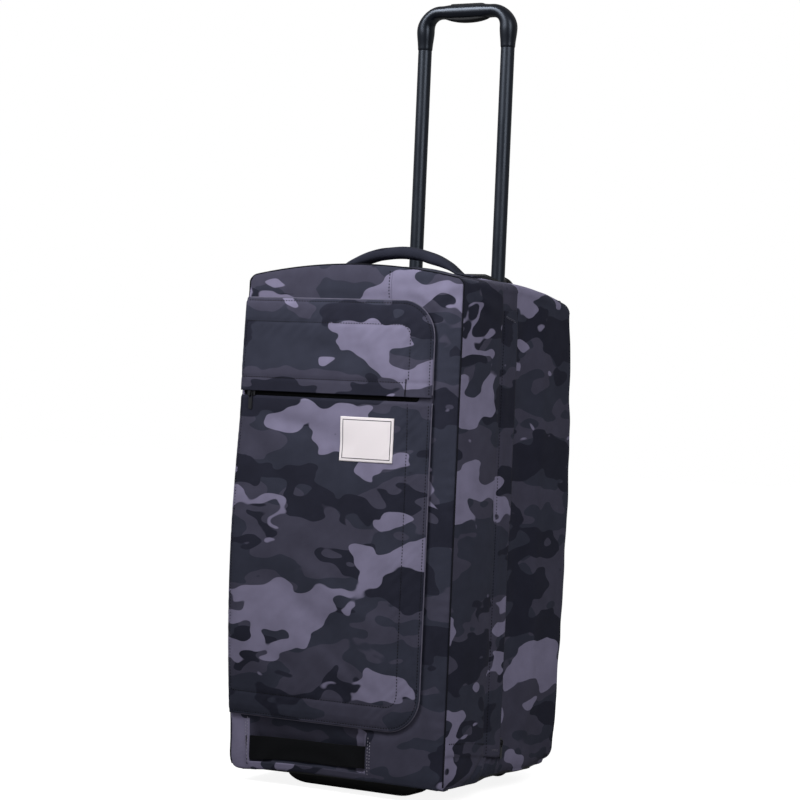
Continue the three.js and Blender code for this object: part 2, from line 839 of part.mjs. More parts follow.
function carryHandle() {
  const steps = 20;
  const height = (x) => {
    const share = Math.min(Math.abs(x) / handleFoot, 1);
    return { z: topHeight(x, handleSetback) + handleStandoff + handleRise * (1 - share ** 2), share };
  };
  const rings = Array.from({ length: steps + 1 }, (_, i) => {
    const x = -handleReach * Math.cos((halfTurn * i) / steps);
    const { z, share } = height(x);
    const step = handleFoot / 100;
    const direction = new THREE.Vector2(2 * step, height(x + step).z - height(x - step).z);
    const half = mix(handleHalfHeight, handleEndHalf, share ** 4);
    return ovalRing(x, handleSetback, z + handleEndHalf, direction, half, handleHalfWidth, smallSides);
  });
  add("carry_handle", loft(rings), "webbing");
}

// Base tray: a floor with a lip that shows under the fabric and a wall inside it, open round the housings
function baseTray() {
  const outlineInset = (inset) => {
    const [front, rear] = [trayFrontCorner, trayRearCorner - inset];
    const half = halfWidth - inset;
    return roundedOutline(-half, inset, half, bodyDepth - inset, [front, rear, rear, front]);
  };
  const wallInset = zipRecess + fabric + 2 * seamGap + tapeThickness;
  const rim = groundClearance + trayRise;
  const lip = standing(outlineInset(trayInset), groundClearance - trayFloor, groundClearance);
  const wall = standing(outlineInset(wallInset), groundClearance - trayFloor / 2, rim);
  const inside = standing(outlineInset(wallInset + trayWall), groundClearance, rim + overrun);
  const bays = housingBays(housingFront - seamGap, shoulderHeight);
  const kickSlot = block(
    [-halfWidth, bodyDepth - kickThickness - seamGap, groundClearance],
    [halfWidth, bodyDepth + overrun, shoulderHeight],
  );
  const recessRoom = block(
    [recessLeft - recessHem - seamGap, 0, groundClearance],
    [recessRight + recessHem + seamGap, trayRecessDepth, rim + overrun],
  );
  add("base_tray", cut(join(lip, cut(wall, inside)), ...bays, kickSlot, recessRoom), "moulding");
}

const trayRecessDepth = fabric + strapThickness + 3 * seamGap + recessDepth + lightFabric + seamGap;

function frontFoot() {
  const half = footWidth / 2;
  const top = groundClearance - trayFloor - seamGap;
  const upper = 2 * footBevel;
  const outline = roundedOutline(-half, 0, half, top, [footEndRadius, upper, upper, footEndRadius]);
  const foot = facing(outline, footSetback, footSetback + footDepth, footBevel);
  const middle = footSetback + footDepth / 2;
  const wells = [-1, 1].map((side) =>
    bar("z", axleHeadRadius, -overrun, top / 2, (side * footScrewPitch) / 2, middle, smallSides),
  );
  add("front_foot", cut(foot, ...wells), "moulding");
}

// Wheel housing: an arched moulding open below and behind, with a cheek on each side of the wheel
const cavityHalf = wheelWidth / 2 + wheelSideClearance;
const housingInner = wheelOffset - cavityHalf - housingWall;
const housingOuter = wheelOffset + cavityHalf + housingWall;
const archRadius = wheelRadius + wheelArchClearance;
const housingFront = wheelSetback - archRadius - housingWall;
const housingTop = wheelRadius + archRadius + housingWall;

// Room for the two housings, from a place behind the front to beyond the back, up to a height
function housingBays(front, high) {
  return [-1, 1].map((side) => {
    const edges = [housingInner - seamGap, housingOuter + seamGap].map((x) => side * x);
    return block([Math.min(...edges), front, 0], [Math.max(...edges), bodyDepth + overrun, high]);
  });
}

function wheelHousing() {
  const low = groundClearance - trayFloor;
  const outline = new THREE.Shape();
  const radius = archRadius + housingWall;
  outline.moveTo(housingFront, low);
  outline.lineTo(bodyDepth, low);
  outline.lineTo(bodyDepth, housingTop);
  outline.lineTo(wheelSetback, housingTop);
  outline.absarc(wheelSetback, wheelRadius, radius, quarterTurn, halfTurn);
  const shell = sideways(outline, housingInner, housingOuter);
  const [near, far] = [wheelOffset - cavityHalf, wheelOffset + cavityHalf];
  const well = bar("x", archRadius, near, far, wheelSetback, wheelRadius);
  const mouthHigh = wheelRadius + archRadius * Math.SQRT1_2;
  const mouth = block([near, wheelSetback, 0], [far, bodyDepth + overrun, mouthHigh]);
  const throat = block([near, wheelSetback - archRadius, 0], [far, wheelSetback + overrun, wheelRadius]);
  const bore = bar("x", axleRadius + axleClearance, 0, bodyWidth, wheelSetback, wheelRadius);
  addPair("wheel_housing", cut(shell, well, mouth, throat, bore), "moulding");
}

// A profile of pairs of radius and place along x, turned round the wheel's axle
function turned(profile, sides = roundSides) {
  const points = profile.map(([radius, along]) => new THREE.Vector2(radius, along));
  return new THREE.LatheGeometry(points, sides)
    .rotateZ(-quarterTurn)
    .translate(wheelOffset, wheelSetback, wheelRadius);
}

function wheels() {
  const half = wheelWidth / 2;
  const rim = wheelRadius - treadThickness;
  const edge = half - treadRound;
  const tyre = [
    [rim + seamGap, -half],
    [wheelRadius - treadRound, -half],
    [wheelRadius, -edge],
    [wheelRadius, edge],
    [wheelRadius - treadRound, half],
    [rim + seamGap, half],
    [rim + seamGap, -half],
  ];
  const halfWeb = webThickness / 2;
  const inner = rim - hubWall;
  const boss = hubBore + hubWall;
  const bossHalf = half - axleClearance;
  const hub = [
    [hubBore, -bossHalf],
    [boss, -bossHalf],
    [boss, -halfWeb],
    [inner, -halfWeb],
    [inner, -half],
    [rim, -half],
    [rim, half],
    [inner, half],
    [inner, halfWeb],
    [boss, halfWeb],
    [boss, bossHalf],
    [hubBore, bossHalf],
    [hubBore, -bossHalf],
  ];
  const between = (inner + boss) / 2;
  const holes = Array.from({ length: spokeHoles }, (_, i) => {
    const angle = (2 * halfTurn * i) / spokeHoles;
    const y = wheelSetback + between * Math.cos(angle);
    const z = wheelRadius + between * Math.sin(angle);
    return bar("x", spokeHoleRadius, wheelOffset - half, wheelOffset + half, y, z, smallSides);
  });
  const bore = axleRadius + axleClearance;
  const race = hubBore - bearingFit;
  const bearings = [
    [bore, -bossHalf],
    [race, -bossHalf],
    [race, bearingWidth - bossHalf],
    [bore + spacerWall, bearingWidth - bossHalf],
    [bore + spacerWall, bossHalf - bearingWidth],
    [race, bossHalf - bearingWidth],
    [race, bossHalf],
    [bore, bossHalf],
    [bore, -bossHalf],
  ];
  addPair("wheel_tyre", turned(tyre), "tread");
  addPair("wheel_hub", cut(turned(hub), ...holes), "hub");
  addPair("wheel_bearings", turned(bearings), "steel");
  const start = housingInner - axleHead;
  const end = housingOuter + axleHead;
  const pin = bar("x", axleRadius, start, end, wheelSetback, wheelRadius);
  const heads = [
    [start - axleHead / 2, housingInner - seamGap],
    [housingOuter + seamGap, end + axleHead / 2],
  ].map(([low, high]) => bar("x", axleHeadRadius, low, high, wheelSetback, wheelRadius));
  addPair("wheel_axle", join(pin, ...heads), "steel");
}

// Kick plate across the bottom of the back, cut out round the wheel housings
function kickPlate() {
  const half = halfWidth - rearCornerRadius - seamGap;
  const outline = roundedOutline(-half, groundClearance + seamGap, half, kickHeight, railBevel);
  const bays = housingBays(0, housingTop + seamGap);
  add("kick_plate", cut(facing(outline, bodyDepth - kickThickness, bodyDepth), ...bays), "moulding");
}

function skidRails() {
  const half = railWidth / 2;
  const low = kickHeight + half;
  const round = half - railBevel;
  const outline = roundedOutline(railOffset - half, low, railOffset + half, railHigh, round);
  const front = bodyDepth + seamGap;
  const both = facing(outline, front - railRise, front + railRise, railBevel);
  const behind = block([0, front, 0], [bodyWidth, front + 2 * railRise, shoulderHeight]);
  addPair("skid_rail", keep(both, behind), "moulding");
}

function pipe(radius, wall, low, high, x) {
  const outline = new THREE.Shape().absarc(0, 0, radius, 0, 2 * halfTurn);
  outline.holes.push(new THREE.Path().absarc(0, 0, radius - wall, 0, 2 * halfTurn, true));
  const geometry = new THREE.ExtrudeGeometry(outline, {
    depth: high - low,
    bevelEnabled: false,
    curveSegments: roundSides / 2,
  });
  return geometry.translate(x, tubeSetback, low);
}

const outerBore = outerTubeRadius - outerTubeWall;
const bracketLow = housingTop + seamGap;
const outerTubeLow = bracketLow + bracketFloor + seamGap;
const outerTubeHigh = cupBase - bushFlange - 2 * seamGap;

function tubes() {
  const lockHole = (z) =>
    bar("x", pinRadius + slideGap, tubeX, tubeX + 2 * outerTubeRadius, tubeSetback, z, smallSides);
  const outer = pipe(outerTubeRadius, outerTubeWall, outerTubeLow, outerTubeHigh, tubeX);
  addPair("outer_tube", cut(outer, lockHole(pinHeight), lockHole(pinHeight - handleTravel)), "innerMetal");
  addPair("inner_tube", pipe(tubeRadius, tubeWall, innerTubeLow, jointHeight - seamGap, tubeX), "tube");
  const bore = tubeRadius + slideGap;
  const sleeveRadius = outerBore - slideGap;
  const seat = outerTubeHigh + seamGap;
  const sleeve = pipe(sleeveRadius, sleeveRadius - bore, outerTubeHigh - bushDepth, seat + overrun, tubeX);
  const flange = pipe(outerTubeRadius, outerTubeRadius - bore, seat, seat + bushFlange, tubeX);
  addPair("guide_bush", join(sleeve, flange), "moulding");
}

// The glide at the foot of an inner tube: a plug inside it and a collar that runs in the outer tube
function glides() {
  const high = innerTubeLow - seamGap;
  const collar = bar("z", outerBore - slideGap, high - glideCollar, high, tubeX, tubeSetback);
  const plug = bar("z", spigotRadius, high - glideCollar / 2, high + glidePlug, tubeX, tubeSetback);
  const rodBore = bar(
    "z",
    rodRadius + linkGap,
    pinHeight - pinRadius,
    high + glidePlug + overrun,
    rodX,
    tubeSetback,
    smallSides,
  );
  const boreRadius = pinRadius + slideGap;
  const pinBore = bar("x", boreRadius, rodX, tubeX + outerBore, tubeSetback, pinHeight, smallSides);
  addPair("tube_glide", cut(join(collar, plug), rodBore, pinBore), "moulding");
  const tip = tubeX + outerBore - slideGap - seamGap;
  addPair("lock_pin", bar("x", pinRadius, tip - pinLength, tip, tubeSetback, pinHeight, smallSides), "steel");
}

function tubeBracket() {
  const outline = roundedOutline(
    -bracketHalfWidth,
    tubeSetback - bracketDepth / 2,
    bracketHalfWidth,
    tubeSetback + bracketDepth / 2 - outerTubeRadius / 2,
    bracketCorner,
  );
  const body = standing(outline, bracketLow, bracketLow + bracketHeight);
  const floor = bracketLow + bracketFloor;
  const sockets = [-1, 1].map((side) =>
    bar("z", outerTubeRadius + slideGap, floor, shoulderHeight, side * tubeX, tubeSetback),
  );
  const gap = tubeX - outerTubeRadius - 2 * cupWall;
  const relief = block([-gap, 0, floor], [gap, tubeSetback + outerTubeRadius / 2, shoulderHeight]);
  add("tube_bracket", cut(body, ...sockets, relief), "moulding");
}

function cupOutline(grow) {
  const half = cupWidth / 2 + grow;
  const depth = cupDepth / 2 + grow;
  return roundedOutline(-half, tubeSetback - depth, half, tubeSetback + depth, cupCorner + grow);
}

// The cup: an oval well with an arched rim, a floor with two holes and room for the grip
function trolleyCup() {
  const half = cupWidth / 2;
  const well = standing(cupOutline(0), cupBase, cupRim);
  const hollow = standing(cupOutline(-cupWall), cupBase + cupFloor, cupRim + overrun);
  const holes = [-1, 1].map((side) =>
    bar("z", tubeRadius + slideGap, cupBase - overrun, cupRim, side * tubeX, tubeSetback),
  );
  const steps = 12;
  const arch = new THREE.Shape();
  arch.moveTo(half + overrun, cupRim + overrun);
  arch.lineTo(-half - overrun, cupRim + overrun);
  for (let i = 0; i <= steps; i++) {
    const share = (2 * i) / steps - 1;
    arch.lineTo(share * (half + overrun), cupRim - cupRimDrop * share ** 2);
  }
  const above = facing(arch, tubeSetback - cupDepth, tubeSetback + cupDepth);
  add("trolley_cup", cut(well, hollow, ...holes, above), "moulding");
}

// Stations along the right half of the grip: place, direction and half sizes of its oval section
function gripStations() {
  const start = tubeRadius + slideGap;
  const bendLow = gripAxis - gripBend;
  const legShares = [0, 0.35, 0.75, 1];
  const stations = legShares.map((share) => ({
    x: tubeX,
    z: mix(jointHeight, bendLow, share),
    direction: new THREE.Vector2(0, 1),
    across: mix(start, gripLegHalf, ease(share)),
    deep: mix(start, gripBarHalfDepth, ease(share)),
  }));
  const bendSteps = 5;
  for (let i = 1; i <= bendSteps; i++) {
    const angle = (quarterTurn * i) / bendSteps;
    stations.push({
      x: tubeX - gripBend + gripBend * Math.cos(angle),
      z: bendLow + gripBend * Math.sin(angle),
      direction: new THREE.Vector2(-Math.sin(angle), Math.cos(angle)),
      across: mix(gripLegHalf, gripBarHalfHeight, ease(i / bendSteps)),
      deep: gripBarHalfDepth,
    });
  }
  return stations;
}

function gripShell() {
  const right = gripStations();
  const mirror = (station) => {
    const { x, y } = station.direction;
    return { ...station, x: -station.x, direction: new THREE.Vector2(x, -y) };
  };
  const rings = [...right, ...right.map(mirror).reverse()].map(({ x, z, direction, across, deep }) =>
    ovalRing(x, tubeSetback, z, direction, across, deep, smallSides),
  );
  const spigots = [-1, 1].map((side) =>
    bar("z", spigotRadius, jointHeight - spigotLength, jointHeight + spigotLength, side * tubeX, tubeSetback),
  );
  const rodBores = [-1, 1].map((side) =>
    bar(
      "z",
      rodRadius + linkGap,
      jointHeight - spigotLength - overrun,
      gripAxis,
      side * rodX,
      tubeSetback,
      smallSides,
    ),
  );
  const linkBay = block(
    [-rodX - rodRadius - linkGap, tubeSetback - linkHalfWidth - linkGap, linkLow - buttonTravel - linkGap],
    [rodX + rodRadius + linkGap, tubeSetback + linkHalfWidth + linkGap, linkLow + linkThickness + linkGap],
  );
  const holeLow = gripAxis - buttonTravel - linkGap;
  const buttonHole = standing(buttonOutline(buttonGap), holeLow, gripAxis + 2 * gripBarHalfHeight);
  const seatHigh = gripAxis - gripBarHalfHeight + bellyInset;
  const bellySeat = standing(bellyOutline(seamGap), gripAxis - 2 * gripBarHalfHeight, seatHigh);
  const shell = cut(join(loft(rings), ...spigots), ...rodBores, linkBay, buttonHole, bellySeat);
  add("grip_shell", shell, "gripPlastic");
}

function buttonOutline(grow) {
  const [x, y] = [buttonHalfLength + grow, buttonHalfWidth + grow];
  return roundedOutline(-x, tubeSetback - y, x, tubeSetback + y, y - grow / 2);
}

function bellyOutline(grow) {
  const [x, y] = [bellyHalfLength + grow, bellyDepth + grow];
  return roundedOutline(-x, tubeSetback - y, x, tubeSetback + y, y - grow / 2);
}

// A solid between a flat height and an arc across x, used for the button's crown and the belly's curve
function lens(halfLength, flat, middle, end) {
  const steps = 10;
  const outline = new THREE.Shape();
  outline.moveTo(halfLength, flat);
  outline.lineTo(halfLength, end);
  for (let i = 1; i <= steps; i++) {
    const share = 1 - (2 * i) / steps;
    outline.lineTo(share * halfLength, mix(middle, end, share ** 2));
  }
  outline.lineTo(-halfLength, flat);
  return facing(outline, tubeSetback - gripBarHalfDepth, tubeSetback + gripBarHalfDepth);
}

function gripInserts() {
  const bellyTop = gripAxis - gripBarHalfHeight + bellyInset - seamGap;
  const bellyEnd = gripAxis - gripBarHalfHeight;
  const belly = keep(
    standing(bellyOutline(0), bellyEnd - 2 * bellyDrop, bellyTop),
    lens(bellyHalfLength, bellyTop, bellyEnd - bellyDrop, bellyEnd - seamGap),
  );
  add("grip_belly", belly, "softGrip");
  const crownEnd = gripAxis + gripBarHalfHeight;
  const button = keep(
    standing(buttonOutline(0), linkLow + linkThickness + seamGap, crownEnd + buttonRise),
    lens(buttonHalfLength, linkLow, crownEnd + buttonRise, crownEnd),
  );
  add("grip_button", button, "gripPlastic");
}

function releaseLinks() {
  const link = block(
    [-rodX - rodRadius, tubeSetback - linkHalfWidth, linkLow],
    [rodX + rodRadius, tubeSetback + linkHalfWidth, linkLow + linkThickness],
  );
  add("release_link", link, "innerMetal");
  const rod = bar("z", rodRadius, rodLow, linkLow - seamGap, rodX, tubeSetback, smallSides);
  addPair("release_rod", rod, "steel");
}

gussets();
stormFlaps();
rearSides();
topPanel();
frontPanel();
frontPiping();
backPanel();
frameSheet();
sideZips();
pocket();
label();
grabRecess();
grabStrap();
carryHandle();
baseTray();
frontFoot();
wheelHousing();
wheels();
kickPlate();
skidRails();
tubes();
glides();
tubeBracket();
trolleyCup();
gripShell();
gripInserts();
releaseLinks();

// The origin lies under the middle of the outline, from the pocket slider's bail to the backs of the wheels
const foremost = -(pocketTapeFace + upperPlateHigh + bailRise + bailWire);
bag.position.y = -(wheelSetback + wheelRadius + foremost) / 2;

export default bag;
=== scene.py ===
"""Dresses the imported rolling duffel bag: printed cloth, webbing, mouldings and metal round the fixed frame.

Points are worked out in millimetres in the bag's own frame: x to the right seen from the front, y backwards
from the front face and z upwards from the ground. One function brings them to the frame's metres.
"""

import math

import bpy
import numpy as np
from bpy.props import FloatProperty, PointerProperty, StringProperty
from mathutils import Matrix, Vector


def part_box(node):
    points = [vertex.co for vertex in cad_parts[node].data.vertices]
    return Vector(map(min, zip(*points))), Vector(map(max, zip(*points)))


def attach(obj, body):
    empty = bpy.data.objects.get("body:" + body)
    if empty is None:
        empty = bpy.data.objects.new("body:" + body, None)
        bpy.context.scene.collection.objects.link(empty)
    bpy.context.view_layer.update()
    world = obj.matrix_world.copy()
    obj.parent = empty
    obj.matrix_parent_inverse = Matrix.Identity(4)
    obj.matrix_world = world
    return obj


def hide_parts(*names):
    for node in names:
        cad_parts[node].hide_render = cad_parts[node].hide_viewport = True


bl_info = {
    "name": "Rolling duffel bag",
    "version": (1, 0, 0),
    "blender": (4, 5, 0),
    "location": "3D View > Sidebar > Duffel bag",
    "description": "Cloth, webbing, mouldings and metal of a rolling duffel bag round its packed frame",
    "category": "Add Mesh",
}

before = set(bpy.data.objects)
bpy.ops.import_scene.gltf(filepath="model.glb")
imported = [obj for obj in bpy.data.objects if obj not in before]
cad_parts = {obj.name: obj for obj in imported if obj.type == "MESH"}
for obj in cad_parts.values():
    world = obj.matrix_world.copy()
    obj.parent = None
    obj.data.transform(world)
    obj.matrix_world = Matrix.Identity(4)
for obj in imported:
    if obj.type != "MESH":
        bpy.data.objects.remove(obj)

MM = 0.001
TAU = 2 * math.pi
SIDES = (("right", 1), ("left", -1))
FLIP = np.array([-1, 1, 1])  # brings points of the right side to the left


def node_box(name):
    """Box of a solid in the bag's own millimetres, as two arrays."""
    low, high = (np.array(corner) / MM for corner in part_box(name))
    shift = np.array([0, FRONT, 0])
    return low - shift, high - shift


def middle_half(name):
    """Middle and half size of a solid's box."""
    low, high = node_box(name)
    return (low + high) / 2, (high - low) / 2


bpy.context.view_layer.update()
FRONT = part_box("front_panel")[0][1] / MM  # the front face in the frame

# Body, the same sizes as the solids
HALF_WIDTH = 170.0
DEPTH = 325.0
LOW = 28.0
SHOULDER = 702.0
CROWN = 18.0
SHOULDER_RADIUS = 12.0
REAR_RADIUS = 14.0
REAR_SWELL = 5.5  # how far the cloth stands out at the rear corners
CORNER_START = DEPTH - REAR_RADIUS
WRAP = CORNER_START + REAR_RADIUS * math.pi / 2
SIDE_ZIP = 166.0  # the side zips' distance back from the front edge
ZIP_LOW, ZIP_HIGH = 51.0, 664.0
CUP_HALF = 90.0  # half length of the cup's rim
CLOTH_WALL, FLAP_WALL, THIN_WALL = 2.0, 1.5, 0.8  # thickness of cloth, of a flap, and of tape and label
TAPE_DEPTH = 2.2  # how far a zip tape lies behind its solid's face
FRONT_PRINT = 1205  # where the front is cut from the printed length
SHARP_ANGLE = math.radians(38.0)
WAVE_PERIOD = 0.314  # period of a wave texture whose scale is 1
RIPPLE_WAVES = 14


def plane(left, right, columns, low, high, rows):
    """A flat grid of two coordinates between their limits."""
    return np.broadcast_arrays(np.linspace(left, right, columns), np.linspace(low, high, rows)[:, None])


def stacked(*parts):
    """Coordinates brought to one shape and put side by side as points."""
    return np.stack(np.broadcast_arrays(*parts), axis=-1)


def swell(points):
    """The full pocket pushes the front left edge out: two bells of x, y and z that fade within 60 mm of the edge,
    one sideways over the whole height and one forwards below the pocket's zip. The lower left corner sags and is
    rounded."""
    x, y, z = np.moveaxis(points, -1, 0)
    near = np.exp(-(((x + HALF_WIDTH) / 60) ** 2 + (y / 62) ** 2) / 2)
    tall = np.sin(math.pi * np.clip((z - 60) / 620, 0, 1)) ** 0.8
    low = np.sin(math.pi * np.clip((z - 80) / 420, 0, 1))
    corner = np.exp(-(((x + HALF_WIDTH) / 45) ** 2 + (y / 30) ** 2) / 2) * step_up(z, 4, 22)
    foot = corner * np.clip((LOW + 36 - z) / 36, 0, 1) ** 1.5
    turn = corner * (1 - np.sqrt(1 - np.clip((LOW + 14 - z) / 18, 0, 1) ** 2))
    return points + stacked(12.0 * turn - 6.0 * near * tall, -9.0 * near * low, -6.5 * foot)


def to_frame(points):
    """Millimetres of the bag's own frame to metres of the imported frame."""
    moved = swell(np.array(points, dtype=float))
    moved[..., 1] += FRONT
    return moved * MM


# Meshes


def grid_faces(rows, columns, wrap_rows=False, wrap_columns=False, keep=None):
    """Quads of a grid; seen from outside, columns run to the right and rows upwards."""
    row = np.arange(rows if wrap_rows else rows - 1)[:, None]
    column = np.arange(columns if wrap_columns else columns - 1)[None, :]
    up, right = (row + 1) % rows * columns, (column + 1) % columns
    quads = stacked(row * columns + column, row * columns + right, up + right, up + column)
    return quads[keep] if keep is not None else quads.reshape(-1, 4)


def put_mesh(name, points, faces, uv=None, body="bag"):
    """A piece from points in millimetres and faces; uv, one pair per point in metres, goes to the cloth map."""
    mesh = bpy.data.meshes.new(name)
    mesh.from_pydata(to_frame(points).reshape(-1, 3).tolist(), [], [list(face) for face in faces])
    if uv is not None:
        loops = np.empty(len(mesh.loops), dtype=np.int32)
        mesh.loops.foreach_get("vertex_index", loops)
        layer = mesh.uv_layers.new(name="cloth")
        layer.data.foreach_set("uv", uv.reshape(-1, 2)[loops].ravel())
    mesh.polygons.foreach_set("use_smooth", [True] * len(mesh.polygons))
    mesh.update()
    piece = bpy.data.objects.new(name, mesh)
    bpy.context.scene.collection.objects.link(piece)
    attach(piece, body)
    return piece


def put_grid(name, points, uv, keep=None):
    """A piece from a grid of points."""
    return put_mesh(name, points, grid_faces(*points.shape[:2], keep=keep), uv)


def put_tube(name, rings, body="bag", uv=None):
    """A piece from rings of points, closed by a flat face at both ends. Rings turn anticlockwise seen from the far
    end of the path."""
    count, sides = rings.shape[:2]
    end = np.arange(sides)
    faces = [*grid_faces(count, sides, wrap_columns=True).tolist(), end[::-1], end + (count - 1) * sides]
    return put_mesh(name, rings, faces, uv, body)


def join_pieces(pieces, solid):
    """Joins pieces into the first of them, which replaces a solid."""
    for other in bpy.context.selected_objects:
        other.select_set(False)
    for piece in pieces:
        piece.select_set(True)
    bpy.context.view_layer.objects.active = pieces[0]
    bpy.ops.object.join()
    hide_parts(solid)


FINISHES = {}
# The slot that a finish stands for, where its name is another one
SLOTS = {
    **dict.fromkeys(("print", "dark_print_painted_shade", "fold", "thread", "pale_thread"), "camouflage"),
    "coil": "zip_tape",
    "grip": "grip_plastic",
    "soft": "soft_grip",
}


def finish(piece, kind, *solids, wall=0.0, slot=None):
    """Gives a piece its finish, a sheet its thickness inwards, and hides the solids it replaces; slot is not used."""
    piece.data.materials.clear()
    piece.data.materials.append(FINISHES[kind])
    if wall:
        modifier = piece.modifiers.new("wall", "SOLIDIFY")
        modifier.thickness = wall * MM
        modifier.offset = -1.0
    if solids:
        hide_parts(*solids)
    return piece


def sharpen(piece):
    """Keeps the edges that turn by more than the sharp angle."""
    piece.data.set_sharp_from_angle(angle=SHARP_ANGLE)
    return piece


def normals_of(grid):
    """Unit normals of a grid of points: the run of its columns times the run of its rows."""
    normal = np.cross(np.gradient(grid, axis=1), np.gradient(grid, axis=0))
    return normal / np.maximum(np.linalg.norm(normal, axis=-1, keepdims=True), 1e-9)


def frames_along(path, first_side):
    """Tangents and two normals along a path, turned as little as possible from point to point."""
    tangent = np.gradient(path, axis=0)
    tangent /= np.linalg.norm(tangent, axis=1, keepdims=True)
    side = np.empty_like(path)
    previous = np.array(first_side, dtype=float)
    for i, direction in enumerate(tangent):
        previous = previous - direction * (previous @ direction)
        previous /= np.linalg.norm(previous)
        side[i] = previous
    return side, np.cross(tangent, side)


def tube_rings(path, radii, first_side, sides, squareness=2.0):
    """Rings round a path. A ring is a superellipse: half sizes times cosine and sine, each to the power 2 over
    squareness. radii holds one half size or a pair of them, for all points or for each."""
    side, other = frames_along(path, first_side)
    half = np.broadcast_to(radii, (len(path), 2))
    angle = np.arange(sides) * TAU / sides
    c, s = (np.sign(v) * np.abs(v) ** (2.0 / squareness) for v in (np.cos(angle), np.sin(angle)))
    return (
        path[:, None, :]
        + side[:, None, :] * (half[:, 0:1] * c)[..., None]
        + other[:, None, :] * (half[:, 1:2] * s)[..., None]
    )


def eased(pairs, place):
    """Values eased between pairs of place and value, each step flat at both ends."""
    places, values = np.array(pairs, dtype=float).T
    i = np.clip(np.searchsorted(places, place) - 1, 0, len(places) - 2)
    share = np.clip((place - places[i]) / (places[i + 1] - places[i]), 0, 1)
    return values[i] + (values[i + 1] - values[i]) * share * share * (3 - 2 * share)


def step_up(place, start, end):
    """0 before start and 1 after end, eased between them."""
    share = np.clip((np.asarray(place, dtype=float) - start) / (end - start), 0, 1)
    return share * share * (3 - 2 * share)


def ripple(a, b, seed, longest, shortest, depth):
    """Soft waves of cloth: a sum of sines of two coordinates in random directions, longer ones deeper."""
    random = np.random.default_rng(seed)
    total = np.zeros(np.broadcast(a, b).shape)
    for _ in range(RIPPLE_WAVES):
        length = math.exp(random.uniform(math.log(shortest), math.log(longest)))
        turn, phase = random.uniform(0, TAU, 2)
        total += length / longest * np.sin(TAU * (a * math.cos(turn) + b * math.sin(turn)) / length + phase)
    return total * depth / math.sqrt(RIPPLE_WAVES / 2)


def fold(a, b, start, end, width, depth):
    """A crease between two points: depth times a bell across it, tapering to nothing at both ends."""
    start, end = np.array(start, dtype=float), np.array(end, dtype=float)
    run = end - start
    length = np.linalg.norm(run)
    run /= length
    along = ((a - start[0]) * run[0] + (b - start[1]) * run[1]) / length
    across = (a - start[0]) * -run[1] + (b - start[1]) * run[0]
    taper = np.sin(math.pi * np.clip(along, 0, 1)) ** 0.7 * ((along > 0) & (along < 1))
    return depth * taper * np.exp(-((across / width) ** 2))


def folds(a, b, table):
    """The sum of a table's folds."""
    return sum(fold(a, b, *one) for one in table)


def seam_pull(distance, along, seed, depth=0.5, pitch=17.0, reach=12.0, groove=0.6, groove_width=2.2):
    """How a row of stitches draws cloth in: a groove at the row, and small puckers that fade away from it."""
    phase = np.random.default_rng(seed).uniform(0, TAU, 3)
    wave = np.sin(TAU * along / pitch + phase[0] + 1.3 * np.sin(TAU * along / (pitch * 4.7) + phase[1]))
    fade = 0.55 + 0.45 * np.sin(TAU * along / (pitch * 9.1) + phase[2])
    near = np.abs(distance)
    pucker = depth * wave * fade * np.exp(-near / reach) * (1 - np.exp(-near / 2))
    return pucker - groove * np.exp(-((near / groove_width) ** 2))


def resampled(path, pitch):
    """Points at an even pitch along a path, with the unit direction at each."""
    run = np.concatenate([[0], np.cumsum(np.linalg.norm(np.diff(path, axis=0), axis=1))])
    count = max(int(run[-1] / pitch), 1)
    places = (np.arange(count) + 0.5) * run[-1] / count
    points, ahead, behind = (
        stacked(*(np.interp(np.clip(at, 0, run[-1]), run, part) for part in path.T))
        for at in (places, places + 0.5, places - 0.5)
    )
    direction = ahead - behind
    return points, direction / np.linalg.norm(direction, axis=1, keepdims=True)


STITCH_SIDES = 5
STITCH_STATIONS = np.array([[-1.0, 0.12], [-0.6, 0.85], [0.6, 0.85], [1.0, 0.12]])


def stitch_mesh(runs, pitch, length, width, height):
    """Points and faces of sewn stitches: a short spindle of five sides every pitch along each run, pressed into
    the cloth. A run is a path and the outward normal there, one or one for each of its points."""
    angle = np.arange(STITCH_SIDES) * TAU / STITCH_SIDES + TAU / 4
    ring = stacked(np.cos(angle) * width / 2, np.sin(angle) * height)
    template = np.array([[s * length / 2, *(own * r)] for s, r in STITCH_STATIONS for own in ring])
    quads = grid_faces(len(STITCH_STATIONS), STITCH_SIDES, wrap_columns=True)
    end = np.arange(STITCH_SIDES)
    all_points, all_faces, offset = [], [], 0
    for path, normal in runs:
        points, direction = resampled(path, pitch)
        normal = np.asarray(normal, dtype=float)
        if normal.ndim == 2:
            normal = normal[np.linspace(0, len(normal) - 1, len(points)).round().astype(int)]
        normal = normal - direction * np.sum(normal * direction, axis=1, keepdims=True)
        normal = normal / np.linalg.norm(normal, axis=1, keepdims=True)
        axes = (direction, np.cross(normal, direction), normal)
        spindle = points[:, None] + sum(axis[:, None] * template[None, :, i : i + 1] for i, axis in enumerate(axes))
        starts = offset + np.arange(len(points))[:, None, None] * len(template)
        all_faces.extend((quads[None] + starts).reshape(-1, 4).tolist())
        for cap in (end[::-1], end + len(template) - STITCH_SIDES):
            all_faces.extend((cap + starts[:, 0]).tolist())
        all_points.append(spindle.reshape(-1, 3))
        offset += len(points) * len(template)
    return np.concatenate(all_points), all_faces


def sew(name, runs, kind, pitch=4.2, length=2.4, width=1.5, height=0.55):
    """One piece with every stitch of these runs."""
    finish(put_mesh(name, *stitch_mesh(runs, pitch, length, width, height)), kind)


# Shape of the body

